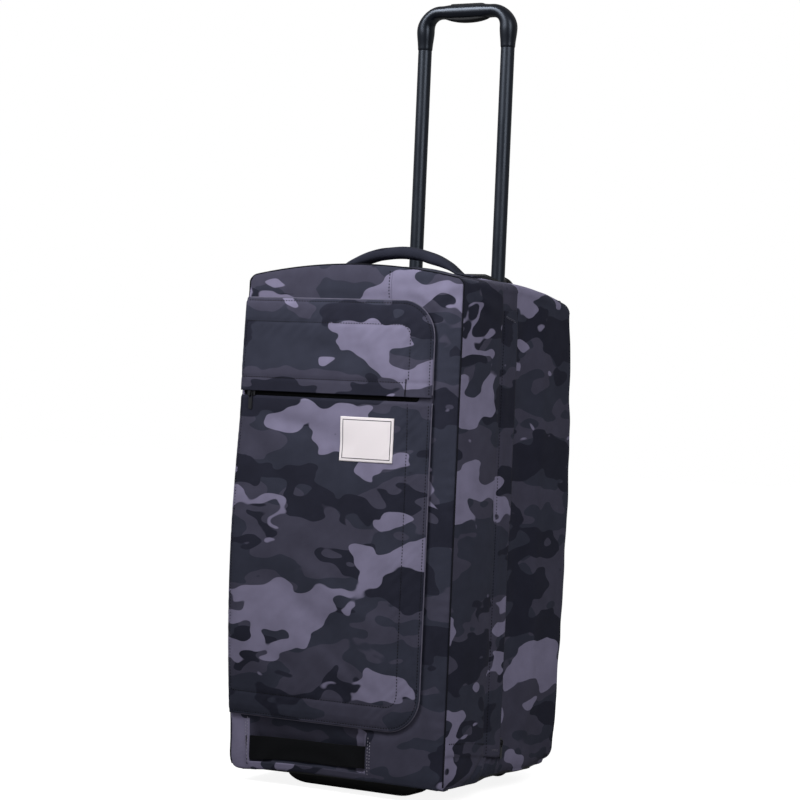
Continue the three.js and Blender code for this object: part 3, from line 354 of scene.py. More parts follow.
SIDE_OFFSETS = [
    (0, 0), (34, 3.4), (90, 5.2), (96, 4.8), (121, -3.4), (151, -4.2), (181, -4.2), (238, 3.4), (311, REAR_SWELL)
]
BOW_SHARES = [(0, 0), (47, 0.5), (94, 0.4), (121, 0), (181, 0), (238, 1.1), (311, 1.5), (335, 0.6)]
FOOT_ROUNDING, FOOT_INSET = 24.0, 15.0  # height over which the lower rear corners draw in, and how far
UNDER_DROP = 5.0  # how far the cloth's turned edge goes below the walls
# The cloth's lower edge goes round the tray: run of cloth, how far inwards and how far below the hem
UNDER_STEPS = ((2.0, 0.3, 1.6), (3.8, 0.8, 3.2), (5.6, 2.0, 4.4), (8.0, 4.0, UNDER_DROP), (19.5, 16.0, 4.6))


def half_width(y):
    """Half of the body's width at a depth, on the straight part of the side."""
    return HALF_WIDTH + eased(SIDE_OFFSETS, y)


def corner_half(y):
    """Half of the body's width round the rear corner."""
    past = np.clip(y - CORNER_START, 0, REAR_RADIUS)
    return HALF_WIDTH + REAR_SWELL - REAR_RADIUS + np.sqrt(REAR_RADIUS**2 - past**2)


def top_height(x, y):
    """Height of the top: crowned across, rounded at the shoulders, sagging to the back."""
    half = np.where(y <= CORNER_START, half_width(np.minimum(y, CORNER_START)), corner_half(y))
    across = (x / HALF_WIDTH) ** 2
    back = np.maximum(0, (y / DEPTH - 0.5) / 0.5)
    sag = back**1.5 * (8 + 12 * across)
    past = np.clip(np.abs(x) - (half - SHOULDER_RADIUS), 0, SHOULDER_RADIUS)
    drop = SHOULDER_RADIUS - np.sqrt(SHOULDER_RADIUS**2 - past**2)
    return SHOULDER + CROWN * (1 - across) - sag - drop


def corner_angle(s):
    """Angle turned round the rear corner: 0 along the side and a right angle at the back."""
    return np.clip((s - CORNER_START) / REAR_RADIUS, 0, math.pi / 2)


def near_corner(s):
    """0 along the side and 1 at the rear corner."""
    return step_up(s, CORNER_START - 60, CORNER_START)


def foot_inset(z):
    """How far the lower rear corners are drawn in at a height: a quarter of an ellipse."""
    share = np.clip((LOW + FOOT_ROUNDING - z) / (FOOT_ROUNDING + UNDER_DROP), 0, 1)
    return FOOT_INSET * (1 - np.sqrt(1 - share**2))


def wall(s, z):
    """A point of the right side at a distance s round it from the front edge, and its outward direction."""
    angle = corner_angle(s)
    straight = np.minimum(s, CORNER_START)
    bow = 6 * np.sin(math.pi * np.clip((z - LOW) / (SHOULDER - LOW), 0, 1)) * eased(BOW_SHARES, s)
    x = half_width(straight) - REAR_RADIUS * (1 - np.cos(angle))
    y = straight + REAR_RADIUS * np.sin(angle)
    out = stacked(np.cos(angle), np.sin(angle), 0.0)
    drawn = foot_inset(z) * near_corner(s)
    return stacked(x - drawn, y - drawn, z) + out * bow[..., None], out


def turned_under(edge, out, step):
    """A row of points past the lower edge, drawn in and lowered as a step says."""
    row = edge - out * step[1]
    row[..., 2] = LOW - step[2]
    return row


# Materials


def linear(colour):
    """An sRGB hex colour as linear red, green, blue and alpha."""
    channels = [int(colour[i : i + 2], 16) / 255 for i in (1, 3, 5)]
    return [c / 12.92 if c <= 0.04045 else ((c + 0.055) / 1.055) ** 2.4 for c in channels] + [1.0]


def node(tree, kind, inputs=None, **settings):
    """Adds a shader node with its settings. Each input takes a value, or is linked to a socket or to a node's first
    output."""
    new = tree.nodes.new("ShaderNode" + kind)
    for key, value in settings.items():
        setattr(new, key, value)
    for key, value in (inputs or {}).items():
        if isinstance(value, bpy.types.Node):
            value = value.outputs[0]
        if isinstance(value, bpy.types.NodeSocket):
            tree.links.new(value, new.inputs[key])
        else:
            new.inputs[key].default_value = value
    return new


def start_material(name, **values):
    """An empty material with its shader's own sockets set."""
    material = bpy.data.materials.new(name)
    material.use_nodes = True
    tree = material.node_tree
    tree.nodes.clear()
    shader = node(tree, "BsdfPrincipled", {key.replace("_", " "): value for key, value in values.items()})
    node(tree, "OutputMaterial", {"Surface": shader})
    return material, tree, shader


def surface(tree, shader, colour, tone, height, strength, distance):
    """Brings a colour times a tone to the shader's colour, and a height to its relief."""
    toned = node(tree, "HueSaturation", {"Color": colour, "Value": tone})
    bump = node(tree, "Bump", {"Height": height, "Strength": strength, "Distance": distance})
    tree.links.new(toned.outputs[0], shader.inputs["Base Color"])
    tree.links.new(bump.outputs[0], shader.inputs["Normal"])


def weave(tree, vector, spacing, low, high):
    """Height of a plain weave, and the tone from low to high that it gives: the sum of two rows of threads, each a
    wave whose period is the spacing."""
    waves = {"Vector": vector, "Scale": WAVE_PERIOD / (spacing * MM)}
    warp, weft = (node(tree, "TexWave", waves, bands_direction=way).outputs["Fac"] for way in "XY")
    threads = node(tree, "Math", {0: warp, 1: weft}, operation="ADD")
    limits = {"From Min": 0.0, "From Max": 2.0, "To Min": low, "To Max": high}
    return threads, node(tree, "MapRange", {"Value": threads, **limits})


def blotches(tree, vector, scale, stretch, shift, threshold):
    """One printed colour of a woodland print: 1 where a smooth noise rises over its threshold. The place it is read
    at is first moved by a finer noise, which gives its shapes their lobes."""
    placed = node(tree, "Mapping", {"Vector": vector, "Location": (shift, -shift, 0), "Scale": (stretch, 1.3, 1)})
    fine = {"Vector": placed, "Scale": scale * 2.3, "Detail": 1.2, "Roughness": 0.5}
    finer = node(tree, "TexNoise", fine, noise_dimensions="2D").outputs[1]
    centred = node(tree, "VectorMath", {0: finer, 1: (0.5, 0.5, 0.5)}, operation="SUBTRACT")
    reach = node(tree, "VectorMath", {0: centred, 1: (1.65 / scale, 1.1 / scale, 0)}, operation="MULTIPLY")
    moved = node(tree, "VectorMath", {0: placed, 1: reach}, operation="ADD")
    noise = node(tree, "TexNoise", {"Vector": moved, "Scale": scale, "Detail": 0.0}, noise_dimensions="2D")
    limits = {"Value": noise, "From Min": threshold - 0.006, "From Max": threshold + 0.006}
    return node(tree, "MapRange", limits, interpolation_type="SMOOTHSTEP")


def printed_polyester(name, cloth, pale=True, shade=1.0):
    """Woven 600 denier polyester with a woodland print in four tones. The yarn gives a dull, even surface with a
    faint bloom at grazing angles; the print's edges are crisp and its shapes have soft lobes. Without pale it is
    the same cloth cut where the print has only its dark tones; shade darkens all of them, as painted shade."""
    material, tree, shader = start_material(
        name, Roughness=0.85, Specular_IOR_Level=0.05, Sheen_Weight=0.02, Sheen_Roughness=0.4
    )
    place = node(tree, "UVMap", uv_map="cloth")
    colour = linear(cloth.slate)
    for scale, stretch, shift, threshold, tone in (
        (9.0, 0.68, 3.1, 0.50, cloth.mid_grey),
        (9.5, 0.68, 11.7, 0.585, cloth.night),
        (8.8, 0.75, 23.9, 0.660, cloth.pale_grey if pale else cloth.slate),
    ):
        shape = blotches(tree, place, scale / cloth.print_scale, stretch, shift, threshold)
        colour = node(tree, "Mix", {0: shape, 6: colour, 7: linear(tone)}, data_type="RGBA").outputs[2]
    faded = node(tree, "TexNoise", {"Vector": place, "Scale": 34.0, "Detail": 4.0}, noise_dimensions="2D")
    limits = {"From Min": 0.3, "From Max": 0.7, "To Min": 0.93 * shade, "To Max": 1.07 * shade}
    worn = node(tree, "MapRange", {"Value": faded, **limits})
    threads, grain = weave(tree, place, cloth.weave, 0.92, 1.08)
    surface(tree, shader, colour, node(tree, "Math", {0: worn, 1: grain}, operation="MULTIPLY"), threads, 0.35, 0.0004)
    return material


def woven_label(name, colour, line_colour, half):
    """Damask label of satin yarn: pale, with one dark woven line 4 mm inside its edge. The line shows where the
    larger of the distances past an inner rectangle lies within half its width."""
    material, tree, shader = start_material(name, Roughness=0.7, Specular_IOR_Level=0.3, Sheen_Weight=0.1)
    place = node(tree, "UVMap", uv_map="cloth")
    parts = node(tree, "SeparateXYZ", {0: place})
    past = {}
    for i in range(2):
        size = node(tree, "Math", {0: parts.outputs[i]}, operation="ABSOLUTE")
        past[i] = node(tree, "Math", {0: size, 1: (half[i] - 4.0) * MM}, operation="SUBTRACT")
    away = node(tree, "Math", {0: node(tree, "Math", past, operation="MAXIMUM")}, operation="ABSOLUTE")
    line = node(tree, "MapRange", {"Value": away, "From Min": 0.65 * MM, "From Max": 0.5 * MM})
    tones = node(tree, "Mix", {0: line, 6: linear(colour), 7: linear(line_colour)}, data_type="RGBA").outputs[2]
    threads, grain = weave(tree, place, 1.1, 0.93, 1.03)
    surface(tree, shader, tones, grain, threads, 0.25, 0.0003)
    return material


def plain_cloth(name, colour, spacing, roughness=0.85):
    """Plain woven cloth or webbing: one dyed colour whose threads show as a fine relief."""
    material, tree, shader = start_material(name, Roughness=roughness, Specular_IOR_Level=0.08, Sheen_Weight=0.02)
    threads, grain = weave(tree, node(tree, "TexCoord").outputs["Object"], spacing, 0.72, 1.2)
    surface(tree, shader, linear(colour), grain, threads, 0.5, 0.0004)
    return material


def moulded(name, colour, roughness, grain, depth, metallic=0.0, specular=0.5, tint=(1.0, 1.0, 1.0, 1.0)):
    """A moulded, painted or drawn surface: one colour, with a fine grain that varies its gloss and relief."""
    material, tree, shader = start_material(name, Metallic=metallic, Specular_IOR_Level=specular, Specular_Tint=tint)
    place = node(tree, "TexCoord").outputs["Object"]
    noise = node(tree, "TexNoise", {"Vector": place, "Scale": 1 / (grain * MM), "Detail": 3.0})
    wear = node(tree, "TexNoise", {"Vector": place, "Scale": 14.0, "Detail": 5.0})
    limits = {"From Min": 0.3, "From Max": 0.7, "To Min": roughness - 0.06, "To Max": roughness + 0.06}
    gloss = node(tree, "MapRange", {"Value": wear, **limits})
    tree.links.new(gloss.outputs[0], shader.inputs["Roughness"])
    tone = node(tree, "MapRange", {"Value": noise, "To Min": 0.9, "To Max": 1.1})
    surface(tree, shader, linear(colour), tone, noise, depth, 0.0003)
    return material


COOL = (0.72, 0.82, 1.0, 1.0)  # tint of the reflections on black anodised and black moulded surfaces


def make_materials(cloth, trim):
    """Every finish of the bag, by its short name."""
    return {
        "print": printed_polyester("printed_polyester", cloth),
        # The carry handle's print, without its pale tone and darkened all over: a painted shade
        "dark_print_painted_shade": printed_polyester("printed_polyester_dark_tones_painted_shade", cloth, pale=False, shade=0.62),
        # Painted highlight: the folded edge of the cloth is drawn in a paler plain colour that stands in for the light
        # the edge catches
        "fold": plain_cloth("printed_polyester_painted_edge_highlight", cloth.fold, 1.0),
        # Polyamide webbing: coarse square weave, dull black
        "webbing": plain_cloth("polyamide_webbing", trim.webbing, 1.8),
        # Spun polyester thread, tonal, slightly glossier than the cloth
        "thread": plain_cloth("polyester_thread", trim.thread, 1.2, 0.6),
        "pale_thread": plain_cloth("polyester_thread_pale", trim.pale_thread, 1.2, 0.6),
        # Corded piping with a woven cover
        "piping": plain_cloth("corded_piping", trim.piping, 1.4),
        "lining": plain_cloth("nylon_lining", trim.lining, 1.4),
        "zip_tape": plain_cloth("zip_tape", trim.tape, 1.2),
        # Polyester coil: moulded monofilament, a little glossy
        "coil": moulded("zip_coil_monofilament", trim.webbing, 0.5, 2.0, 0.1, specular=0.15),
        "label": woven_label("woven_label", trim.label, trim.label_line, (41.5, 30.0)),
        # Injection-moulded polypropylene with a fine leather-like grain
        "moulding": moulded("polypropylene_grained", trim.moulding, 0.5, 1.6, 0.3, specular=0.3),
        # Satin injection-moulded ABS
        "grip": moulded("abs_satin", trim.grip, 0.3, 2.5, 0.0, specular=0.42, tint=COOL),
        "soft": moulded("elastomer_soft_touch", trim.soft_grip, 0.7, 1.5, 0.3, specular=0.25),
        # Black anodised aluminium tube: satin, near-black, with cool reflections
        "tube": moulded("black_anodised_aluminium", trim.tube, 0.36, 3.0, 0.0, tint=COOL),
        "bare_aluminium": moulded("mill_finish_aluminium", "#8d8f94", 0.4, 1.2, 0.15, metallic=1.0),
        "steel": moulded("zinc_plated_steel", "#a4a6a8", 0.35, 1.2, 0.1, metallic=1.0),
        # Zinc die casting with a dark nickel plate
        "gunmetal": moulded("dark_nickel_plated_zinc", trim.gunmetal, 0.3, 1.5, 0.08, metallic=0.9),
        "tread": moulded("polyurethane_tread", "#1b1b1d", 0.6, 1.5, 0.25),
        "hub": moulded("polyamide_hub", "#2b2c30", 0.5, 1.5, 0.2),
    }


# Pieces of the body

HEM_FRONT, HEM_REAR = 69.0, 52.0  # hem of the side's front part, at the front edge and at the flap's free edge
HEM_REACH = 152.0
FLAP_SEAM, FLAP_ROW, FLAP_EDGE, FLAP_HIGH = 118.0, 123.0, 161.4, 667.0
REAR_SEAM = 165.2
SLOT = (157.2, 170.1)


def hem_height(s):
    """Height of the hem across the side's front part: it falls towards the back."""
    return HEM_FRONT + (HEM_REAR - HEM_FRONT) * np.clip(s / HEM_REACH, 0, 1) ** 1.4


def edge_top_at(s):
    """Depth, half width and height of the shoulder's lower end along the side."""
    depth = np.minimum(s, CORNER_START) + REAR_RADIUS * np.sin(corner_angle(s))
    half = np.where(s <= CORNER_START, half_width(np.minimum(s, CORNER_START)), corner_half(depth))
    return depth, half, top_height(half, depth)


SIDE_FOLDS = (
    # from the upper front corner, backwards and down
    ((2, 690), (66, 648), 7, -2.8), ((4, 696), (96, 676), 8, -2.6), ((3, 680), (34, 618), 6, -1.6),
    ((10, 684), (84, 662), 9, 2.2), ((6, 700), (70, 716), 9, -1.4), ((40, 690), (120, 650), 12, 1.2),
    # gathers under the hem
    ((46, 66), (22, 30), 8, 1.2), ((92, 63), (50, 29), 6, 2.2), ((104, 62), (66, 29), 4, -2.0),
    ((112, 61), (78, 29), 4, 2.0), ((121, 60), (92, 29), 3.6, -2.2), ((129, 59), (104, 29), 3.6, 1.9),
    ((137, 58), (116, 29), 3.2, -2.2), ((145, 57), (128, 29), 3.2, 1.7), ((152, 56), (138, 29), 3.0, -1.8),
    # long soft ones
    ((30, 90), (110, 240), 12, 0.9), ((186, 96), (262, 40), 14, -1.8), ((180, 640), (250, 690), 16, -2.0),
    ((205, 560), (300, 640), 18, 1.4), ((190, 330), (290, 250), 20, 1.2),
)
FRONT_FOLDS = (
    ((166, 688), (118, 640), 9, -2.2), ((168, 668), (138, 560), 8, -1.4), ((160, 700), (60, 690), 8, -1.4),
    ((134, 250), (160, 160), 7, -1.4), ((136, 150), (166, 60), 8, 1.4), ((132, 420), (168, 360), 9, 1.2),
)
POCKET_FOLDS = (
    ((-160, 500), (-60, 380), 16, -2.2), ((-150, 520), (20, 470), 14, -1.8), ((60, 420), (20, 250), 18, -2.0),
    ((-120, 300), (30, 190), 17, -2.6), ((-90, 330), (70, 230), 14, 1.6), ((-60, 230), (70, 130), 13, -2.2),
    ((-30, 200), (60, 130), 10, 2.0), ((-160, 250), (-90, 120), 16, 1.6), ((-140, 200), (-40, 150), 12, -1.6),
    ((-120, 620), (40, 590), 14, -1.6), ((20, 640), (70, 560), 12, 1.4),
)


def shell_move(a, v, side, height, down, amount):
    """How far the wrap's cloth stands off its plain form, from its distance a back from the front edge and its run
    v up the cloth: ripples, folds, the hem's ledge, seams, and the hem drawn in to the tray."""
    move = ripple(a, v, 7, 260, 90, 1.6 * amount) + ripple(a, v, 8, 90, 35, 0.35 * amount)
    near_slot = np.exp(-((np.maximum(np.abs(a - 164) - 7, 0) / 12) ** 2))
    move = move * step_up(a, 0, 26) * (1 - side * near_slot)
    move += seam_pull(a - 1.2, v, 21, depth=0.5 * amount, reach=14, groove=0.9, groove_width=2.0)
    move += folds(a, down, SIDE_FOLDS) * amount * np.clip((a - 1) / 8, 0, 1)
    above = step_up(height - hem_height(a), -0.6, 0.6) * step_up(-a, -118, -112)
    move += side * 1.6 * (above - 1) * np.exp(-np.maximum(hem_height(a) - height, 0) / 30)
    move -= side * 5.0 * np.exp(-(height - LOW) / 8.0)
    return move


def shell_grid(amount):
    """The wrap of cloth over both sides and the top, as one grid. A column is a distance s back from the front
    edge; a row runs from the right hem over the top to the left hem. On the sides a point is the wall's; on the
    top it is the crowned height, reached by an arc at the shoulder."""
    s = np.concatenate(
        [
            np.linspace(1.2, 118, 42)[:-1],
            np.linspace(118, SLOT[0], 14),
            [161.0, REAR_SEAM - 2.0, REAR_SEAM - 0.8, REAR_SEAM, REAR_SEAM + 0.8, REAR_SEAM + 2.5],
            np.linspace(SLOT[1], CORNER_START, 42),
            np.linspace(CORNER_START, WRAP, 15)[1:],
        ]
    )
    depth, half, top = edge_top_at(s)
    hem = hem_height(s)
    below = LOW + np.linspace(0, 1, 14)[:, None] * (hem - 0.7 - LOW)
    above = hem + 0.7 + np.linspace(0, 1, 186)[:, None] * (top - hem - 0.7)
    right_v = np.concatenate([below, above])
    right, _ = wall(np.broadcast_to(s, right_v.shape), right_v)
    arc = np.linspace(0, math.pi / 2, 8)[1:, None]
    right_arc = half - SHOULDER_RADIUS * (1 - np.cos(arc))
    flat = np.linspace(1, -1, 98)[1:-1, None] * (half - SHOULDER_RADIUS)
    across = np.concatenate([right_arc, flat, -right_arc[::-1]])
    over = stacked(across, depth, top_height(across, depth[None, :]))
    run = np.linalg.norm(np.diff(np.concatenate([right[-1:], over]), axis=0), axis=-1).cumsum(axis=0)
    top_v = top + run
    left_v = 2 * top + run[-1:] + 3 - right_v[::-1]
    points = np.concatenate([right, over, right[::-1] * FLIP])
    v = np.concatenate([right_v, top_v, left_v])
    side = np.concatenate([np.ones_like(right_v), np.zeros_like(top_v), np.ones_like(left_v)])
    down = np.concatenate([right_v, top_v, right_v[::-1]])
    middle = len(right) + len(over) // 2
    down[middle : len(right) + len(over)] = top_v[: len(over) - len(over) // 2][::-1]
    a = np.broadcast_to(s, v.shape)
    points = points + normals_of(points) * shell_move(a, v, side, points[..., 2], down, amount)[..., None]
    points[..., 2] = np.maximum(points[..., 2], LOW - 0.5)
    corner = near_corner(s)[:, None]
    out = wall(s, np.full_like(s, LOW))[1] * (1 - 0.5 * corner)
    under, under_left = [], []
    for step in UNDER_STEPS:
        drawn = corner * np.array([1, 1, 0]) * (foot_inset(LOW - step[2]) - foot_inset(LOW))
        under.append(turned_under(points[0] - drawn, out, step))
        under_left.append(turned_under(points[-1] - drawn * FLIP, out * FLIP, step))
    points = np.concatenate([under[::-1], points, under_left])
    runs = np.array([step[0] for step in UNDER_STEPS])[:, None]
    v = np.concatenate([v[:1] - runs[::-1], v, v[-1:] + runs])
    return s, points, np.broadcast_to(s, v.shape), v, len(right) + len(UNDER_STEPS), len(over)


def make_shell(cloth):
    """Sides and top of the body in two lengths of cloth, sewn together over the top and open at the side zips."""
    s, points, a, v, side_rows, top_rows = shell_grid(cloth.fullness)
    height = points[..., 2]
    row = np.arange(len(points) - 1)[:, None]
    side = (row < side_rows - 1) | (row >= side_rows + top_rows)
    quad_height = np.minimum(height[:-1, :-1], height[1:, :-1])
    opened = (quad_height < ZIP_HIGH) & (quad_height > ZIP_LOW)
    gap = (s[:-1] > SLOT[0] - 0.1) & (s[:-1] < SLOT[1] - 0.1)
    centre = (points[:-1, :-1] + points[1:, 1:]) / 2
    middle, half = middle_half("trolley_cup")
    half[0] = CUP_HALF
    reach = sum(np.abs((centre[..., i] - middle[i]) / half[i]) ** 5 for i in (0, 1))
    keep = ~(side & opened & gap) & ~((reach < 0.93) & ~side)
    split = int(np.argmin(np.abs(s - REAR_SEAM)))
    front_solids = ("front_gusset_right", "front_gusset_left")
    rear_solids = ("rear_side_right", "rear_side_left", "top_panel")
    for name, start, end, shift, solids in (
        ("front_wrap", 0, split, (0, 0), front_solids),
        ("rear_wrap", split, len(s) - 1, (1400, 70), rear_solids),
    ):
        part = (slice(None), slice(start, end + 1))
        uv = stacked(a[part] + shift[0], v[part] + shift[1]) * MM
        finish(put_grid(name, points[part], uv, keep[:, start:end]), "print", *solids, wall=CLOTH_WALL)


def side_point(s, z, lift):
    """Points on the right side at a height above its plain form, and their outward directions."""
    s, z, lift = np.broadcast_arrays(s, z, lift)
    point, out = wall(s, z)
    return point + out * lift[..., None], out


def flap_lift(s, z):
    """How far the storm flap stands off the side: it comes out of the cloth at its seam, is free and a little raised
    at its edge, and lies flat again at its upper end."""
    free = step_up(-z, -FLAP_HIGH, -FLAP_HIGH + 30)
    lift = 2.6 * step_up(s, FLAP_SEAM - 6, FLAP_SEAM + 3) - 1.7
    lift += free * (1.9 * step_up(s, FLAP_SEAM + 1, FLAP_SEAM + 16) + 0.5 * step_up(s, 150, FLAP_EDGE))
    lift += ripple(s, z, 61, 160, 60, 0.5) * step_up(s, FLAP_ROW, 150)
    return lift + seam_pull(s - FLAP_ROW, z, 62, depth=0.35, pitch=14, reach=8)


def put_side(name, side, sign, points, uv, kind, solid, thickness):
    """A sheet on one side, from points of the right one. The left one is its mirror, with its columns in the other
    order, which keeps the faces outward."""
    own = points if sign > 0 else points[:, ::-1] * FLIP
    return finish(put_grid(f"{name}_{side}", own, uv[:, ::sign]), kind, f"{solid}_{side}", wall=thickness)


def make_flaps(cloth):
    """Storm flap over each side zip: a doubled strip sewn at its front and free at its back."""
    s = np.linspace(FLAP_SEAM - 6, FLAP_EDGE, 22)
    low = hem_height(s) - 0.5
    z = low + np.linspace(0, 1, 190)[:, None] * (FLAP_HIGH - low)
    across = np.broadcast_to(s, z.shape)
    points, _ = side_point(across, z, flap_lift(across, z) * cloth.fullness**0.2)
    uv = stacked(across, z) * MM
    for side, sign in SIDES:
        flap = put_side("side_flap", side, sign, points, uv, "print", "storm_flap", FLAP_WALL)


POCKET_LEFT, POCKET_RIGHT, POCKET_LOW, POCKET_HIGH, POCKET_CORNER = -168.5, 131.0, 94.0, 672.0, 50.0
SEAM_SHARE = 0.2
YOKE_EDGE = 542.6
PANEL_TOP = 536.4
POCKET_ZIP = 539.2
ZIP_END = 112.0  # right end of the opening
WINDOW_LEFT, WINDOW_RIGHT, WINDOW_LOW, WINDOW_HIGH = -137.0, 51.0, 33.0, 100.0  # where the strap is
FRONT_EDGE = 168.6
FRONT_TOP = 690.0
STITCH_INSETS = (4.2, 33.0)  # the pocket's two rows of stitches, from its edge


def front_out(x, z, top, amount):
    """How far the front cloth stands out: full between its seams, with puckers, folds and two turned edges beside
    the strap."""
    edge = np.minimum.reduce([FRONT_EDGE - np.abs(x), z - LOW, top - z])
    out = 3.2 * (1 - np.exp(-np.maximum(edge, 0) / 14.0))
    out = out + amount * ripple(x, z, 3, 220, 60, 1.1) * step_up(edge, 0, 30)
    out = 1.0 + (out - 1.0) * step_up(-pocket_distance(x, z), 0, 15)
    out += seam_pull(FRONT_EDGE - np.abs(x), z, 5, depth=0.6 * amount, groove=0.5)
    out += seam_pull(top - 1.5 - z, x, 6, depth=0.5 * amount, groove=0.5)
    out += amount * folds(x, z, FRONT_FOLDS)
    for place, inward in ((WINDOW_LEFT, -1), (WINDOW_RIGHT, 1)):
        away = (x - place) * inward
        out += 1.5 * step_up(-z, -96, -80) * np.exp(-((away / 6.0) ** 2)) * (away > -0.1)
    return out


def recess_depth(x, z):
    """Depth of the hollow behind the strap: steep at its two upright edges, shallow above, deepest low down."""
    sides = step_up(x, WINDOW_LEFT - 0.5, WINDOW_LEFT + 9) * step_up(-x, -WINDOW_RIGHT - 0.5, -WINDOW_RIGHT + 9)
    return sides * np.interp(z, [LOW, 34, 44, 58, 74, 90, 104], [0.5, 4.0, 12.0, 13.5, 8.0, 2.5, 0.5])


def make_front(cloth):
    """Front cloth behind the pocket, open between the two turned edges where the strap is, and the cloth of the
    hollow behind the strap."""
    x = np.concatenate(
        [
            np.linspace(-FRONT_EDGE, WINDOW_LEFT, 14)[:-1],
            np.linspace(WINDOW_LEFT, WINDOW_RIGHT, 60),
            np.linspace(WINDOW_RIGHT, FRONT_EDGE, 48)[1:],
        ]
    )
    level = np.concatenate(
        [
            np.linspace(LOW, WINDOW_LOW, 4)[:-1],
            np.linspace(WINDOW_LOW, WINDOW_HIGH, 26),
            np.linspace(WINDOW_HIGH, FRONT_TOP, 200)[1:],
        ]
    )[:, None]
    top = top_height(x, np.zeros_like(x)) + 0.2
    raised = WINDOW_HIGH + (level - WINDOW_HIGH) / (FRONT_TOP - WINDOW_HIGH) * (top - WINDOW_HIGH)
    z = np.where(level <= WINDOW_HIGH, level, raised)
    points = stacked(x, -front_out(np.broadcast_to(x, z.shape), z, top, cloth.fullness), z)
    uv = stacked(x + FRONT_PRINT, z) * MM
    hole = (level[:-1] >= WINDOW_LOW - 0.01) & (level[1:] <= WINDOW_HIGH + 0.01)
    hole = hole & (x[:-1] >= WINDOW_LEFT - 0.01) & (x[1:] <= WINDOW_RIGHT + 0.01)
    steps = UNDER_STEPS[::-1]
    under = np.stack([turned_under(points[0], np.array([0.0, -1.0, 0.0]), step) for step in steps])
    under_uv = np.stack([uv[0] - (0, step[0] * MM) for step in steps])
    hole = np.concatenate([np.zeros((len(steps), hole.shape[1]), dtype=bool), hole])
    piece = put_grid("front_cloth", np.concatenate([under, points]), np.concatenate([under_uv, uv]), ~hole)
    finish(piece, "print", "front_panel", wall=CLOTH_WALL)
    x, z = plane(WINDOW_LEFT - 6, WINDOW_RIGHT + 6, 90, WINDOW_LOW - 3, WINDOW_HIGH + 3, 36)
    out = 1.2 - recess_depth(x, z) + cloth.fullness * ripple(x, z, 71, 90, 30, 0.6)
    front_patch("strap_hollow", x, z, out, FLAP_WALL, (905, 0), "print", "grab_recess")


def pocket_outline(inset, count=400):
    """Points round the pocket, anticlockwise from the lower right corner: a rectangle with large corners on the
    right and small ones on the seam side, drawn in by inset, less at the seam."""
    left, right = POCKET_LEFT + inset * SEAM_SHARE, POCKET_RIGHT - inset
    low, high = POCKET_LOW + inset, POCKET_HIGH - inset
    free = max(POCKET_CORNER - inset, 1.0)
    segments = []
    for cx, cz, radius, start in (
        (right - free, low + free, free, -math.pi / 2),
        (right - free, high - free, free, 0),
        (left + 2, high - 2, 2, math.pi / 2),
        (left + 2, low + 2, 2, math.pi),
    ):
        angle = start + np.linspace(0, math.pi / 2, 16)
        segments.append(stacked(cx + radius * np.cos(angle), cz + radius * np.sin(angle)))
    path = np.concatenate(segments + [segments[0][:1]])
    run = np.concatenate([[0], np.cumsum(np.linalg.norm(np.diff(path, axis=0), axis=1))])
    places = np.linspace(0, run[-1], count)
    return [np.interp(places, run, part) for part in path.T]


def pocket_distance(x, z):
    """Distance inwards from the pocket's edge, counted faster at the seam side, where the wall is steeper."""
    d = np.minimum.reduce([POCKET_RIGHT - x, z - POCKET_LOW, POCKET_HIGH - z])
    low, high = POCKET_LOW + POCKET_CORNER, POCKET_HIGH - POCKET_CORNER
    for cz, beyond in ((low, z < low), (high, z > high)):
        radial = POCKET_CORNER - np.hypot(x - (POCKET_RIGHT - POCKET_CORNER), z - cz)
        d = np.where((x > POCKET_RIGHT - POCKET_CORNER) & beyond, radial, d)
    return np.minimum(d, (x - POCKET_LEFT) / SEAM_SHARE)


# How far the pocket stands out at a distance inwards from its edge
RISE_AT = (-5, 0, 0.4, 1.2, 2.4, 5, 14, 32, 60, 100, 500)
RISES = (2, 3.4, 5.2, 6.4, 6.7, 7.0, 9.2, 10.8, 12.8, 13.6, 13.6)


def pocket_rise(x, z, amount):
    """How far the pocket stands out: a sewn edge, a soft slope to the inner row of stitches and a crowned middle,
    with ripples, sagging folds and the pull of the stitches."""
    d = np.maximum(pocket_distance(x, z), 0)
    rise = np.interp(d, RISE_AT, RISES)
    outer, inner = STITCH_INSETS
    rise += seam_pull(d - outer, x + z, 31, depth=0.35 * amount, pitch=13, reach=7, groove_width=2.0)
    rise += seam_pull(d - inner, x - z, 32, depth=0.6 * amount, pitch=19, reach=15, groove=0.8, groove_width=2.6)
    held = step_up(np.abs(z - POCKET_ZIP), 4, 40)
    rise += zip_fullness(x, z) - (1 - held) * 0.4
    middle = step_up(d, 4, 60) * amount * (0.1 + 0.9 * held)
    rise += middle * (ripple(x, z, 33, 300, 90, 1.7) + ripple(x, z, 34, 90, 32, 0.35))
    return rise + 1.5 * middle * folds(x, z, POCKET_FOLDS)


def zip_fullness(x, z):
    """How far the cloth stands out further near the zip's right end, so that it covers the tape there."""
    ends = step_up(x, 60, 105) * step_up(-x, -POCKET_RIGHT + 1, -ZIP_END + 6)
    return 3.6 * np.exp(-(((z - POCKET_ZIP) / 26) ** 2)) * ends


def yoke_rise(x, z, amount):
    """Rise of the pocket's upper part, which lies over the zip and whose lower edge stands free."""
    rise = pocket_rise(x, z, amount) + 1.7 * step_up(pocket_distance(x, z), -1, 9)
    return rise + seam_pull(z - YOKE_EDGE - 19, x, 44, depth=0.4 * amount, reach=9, groove=0.8, groove_width=2.6)


def panel_rise(x, z, amount):
    """Rise of the pocket's lower part, whose upper edge is turned in below the zip."""
    return pocket_rise(x, z, amount) - 2.0 * step_up(z, PANEL_TOP - 3.5, PANEL_TOP)


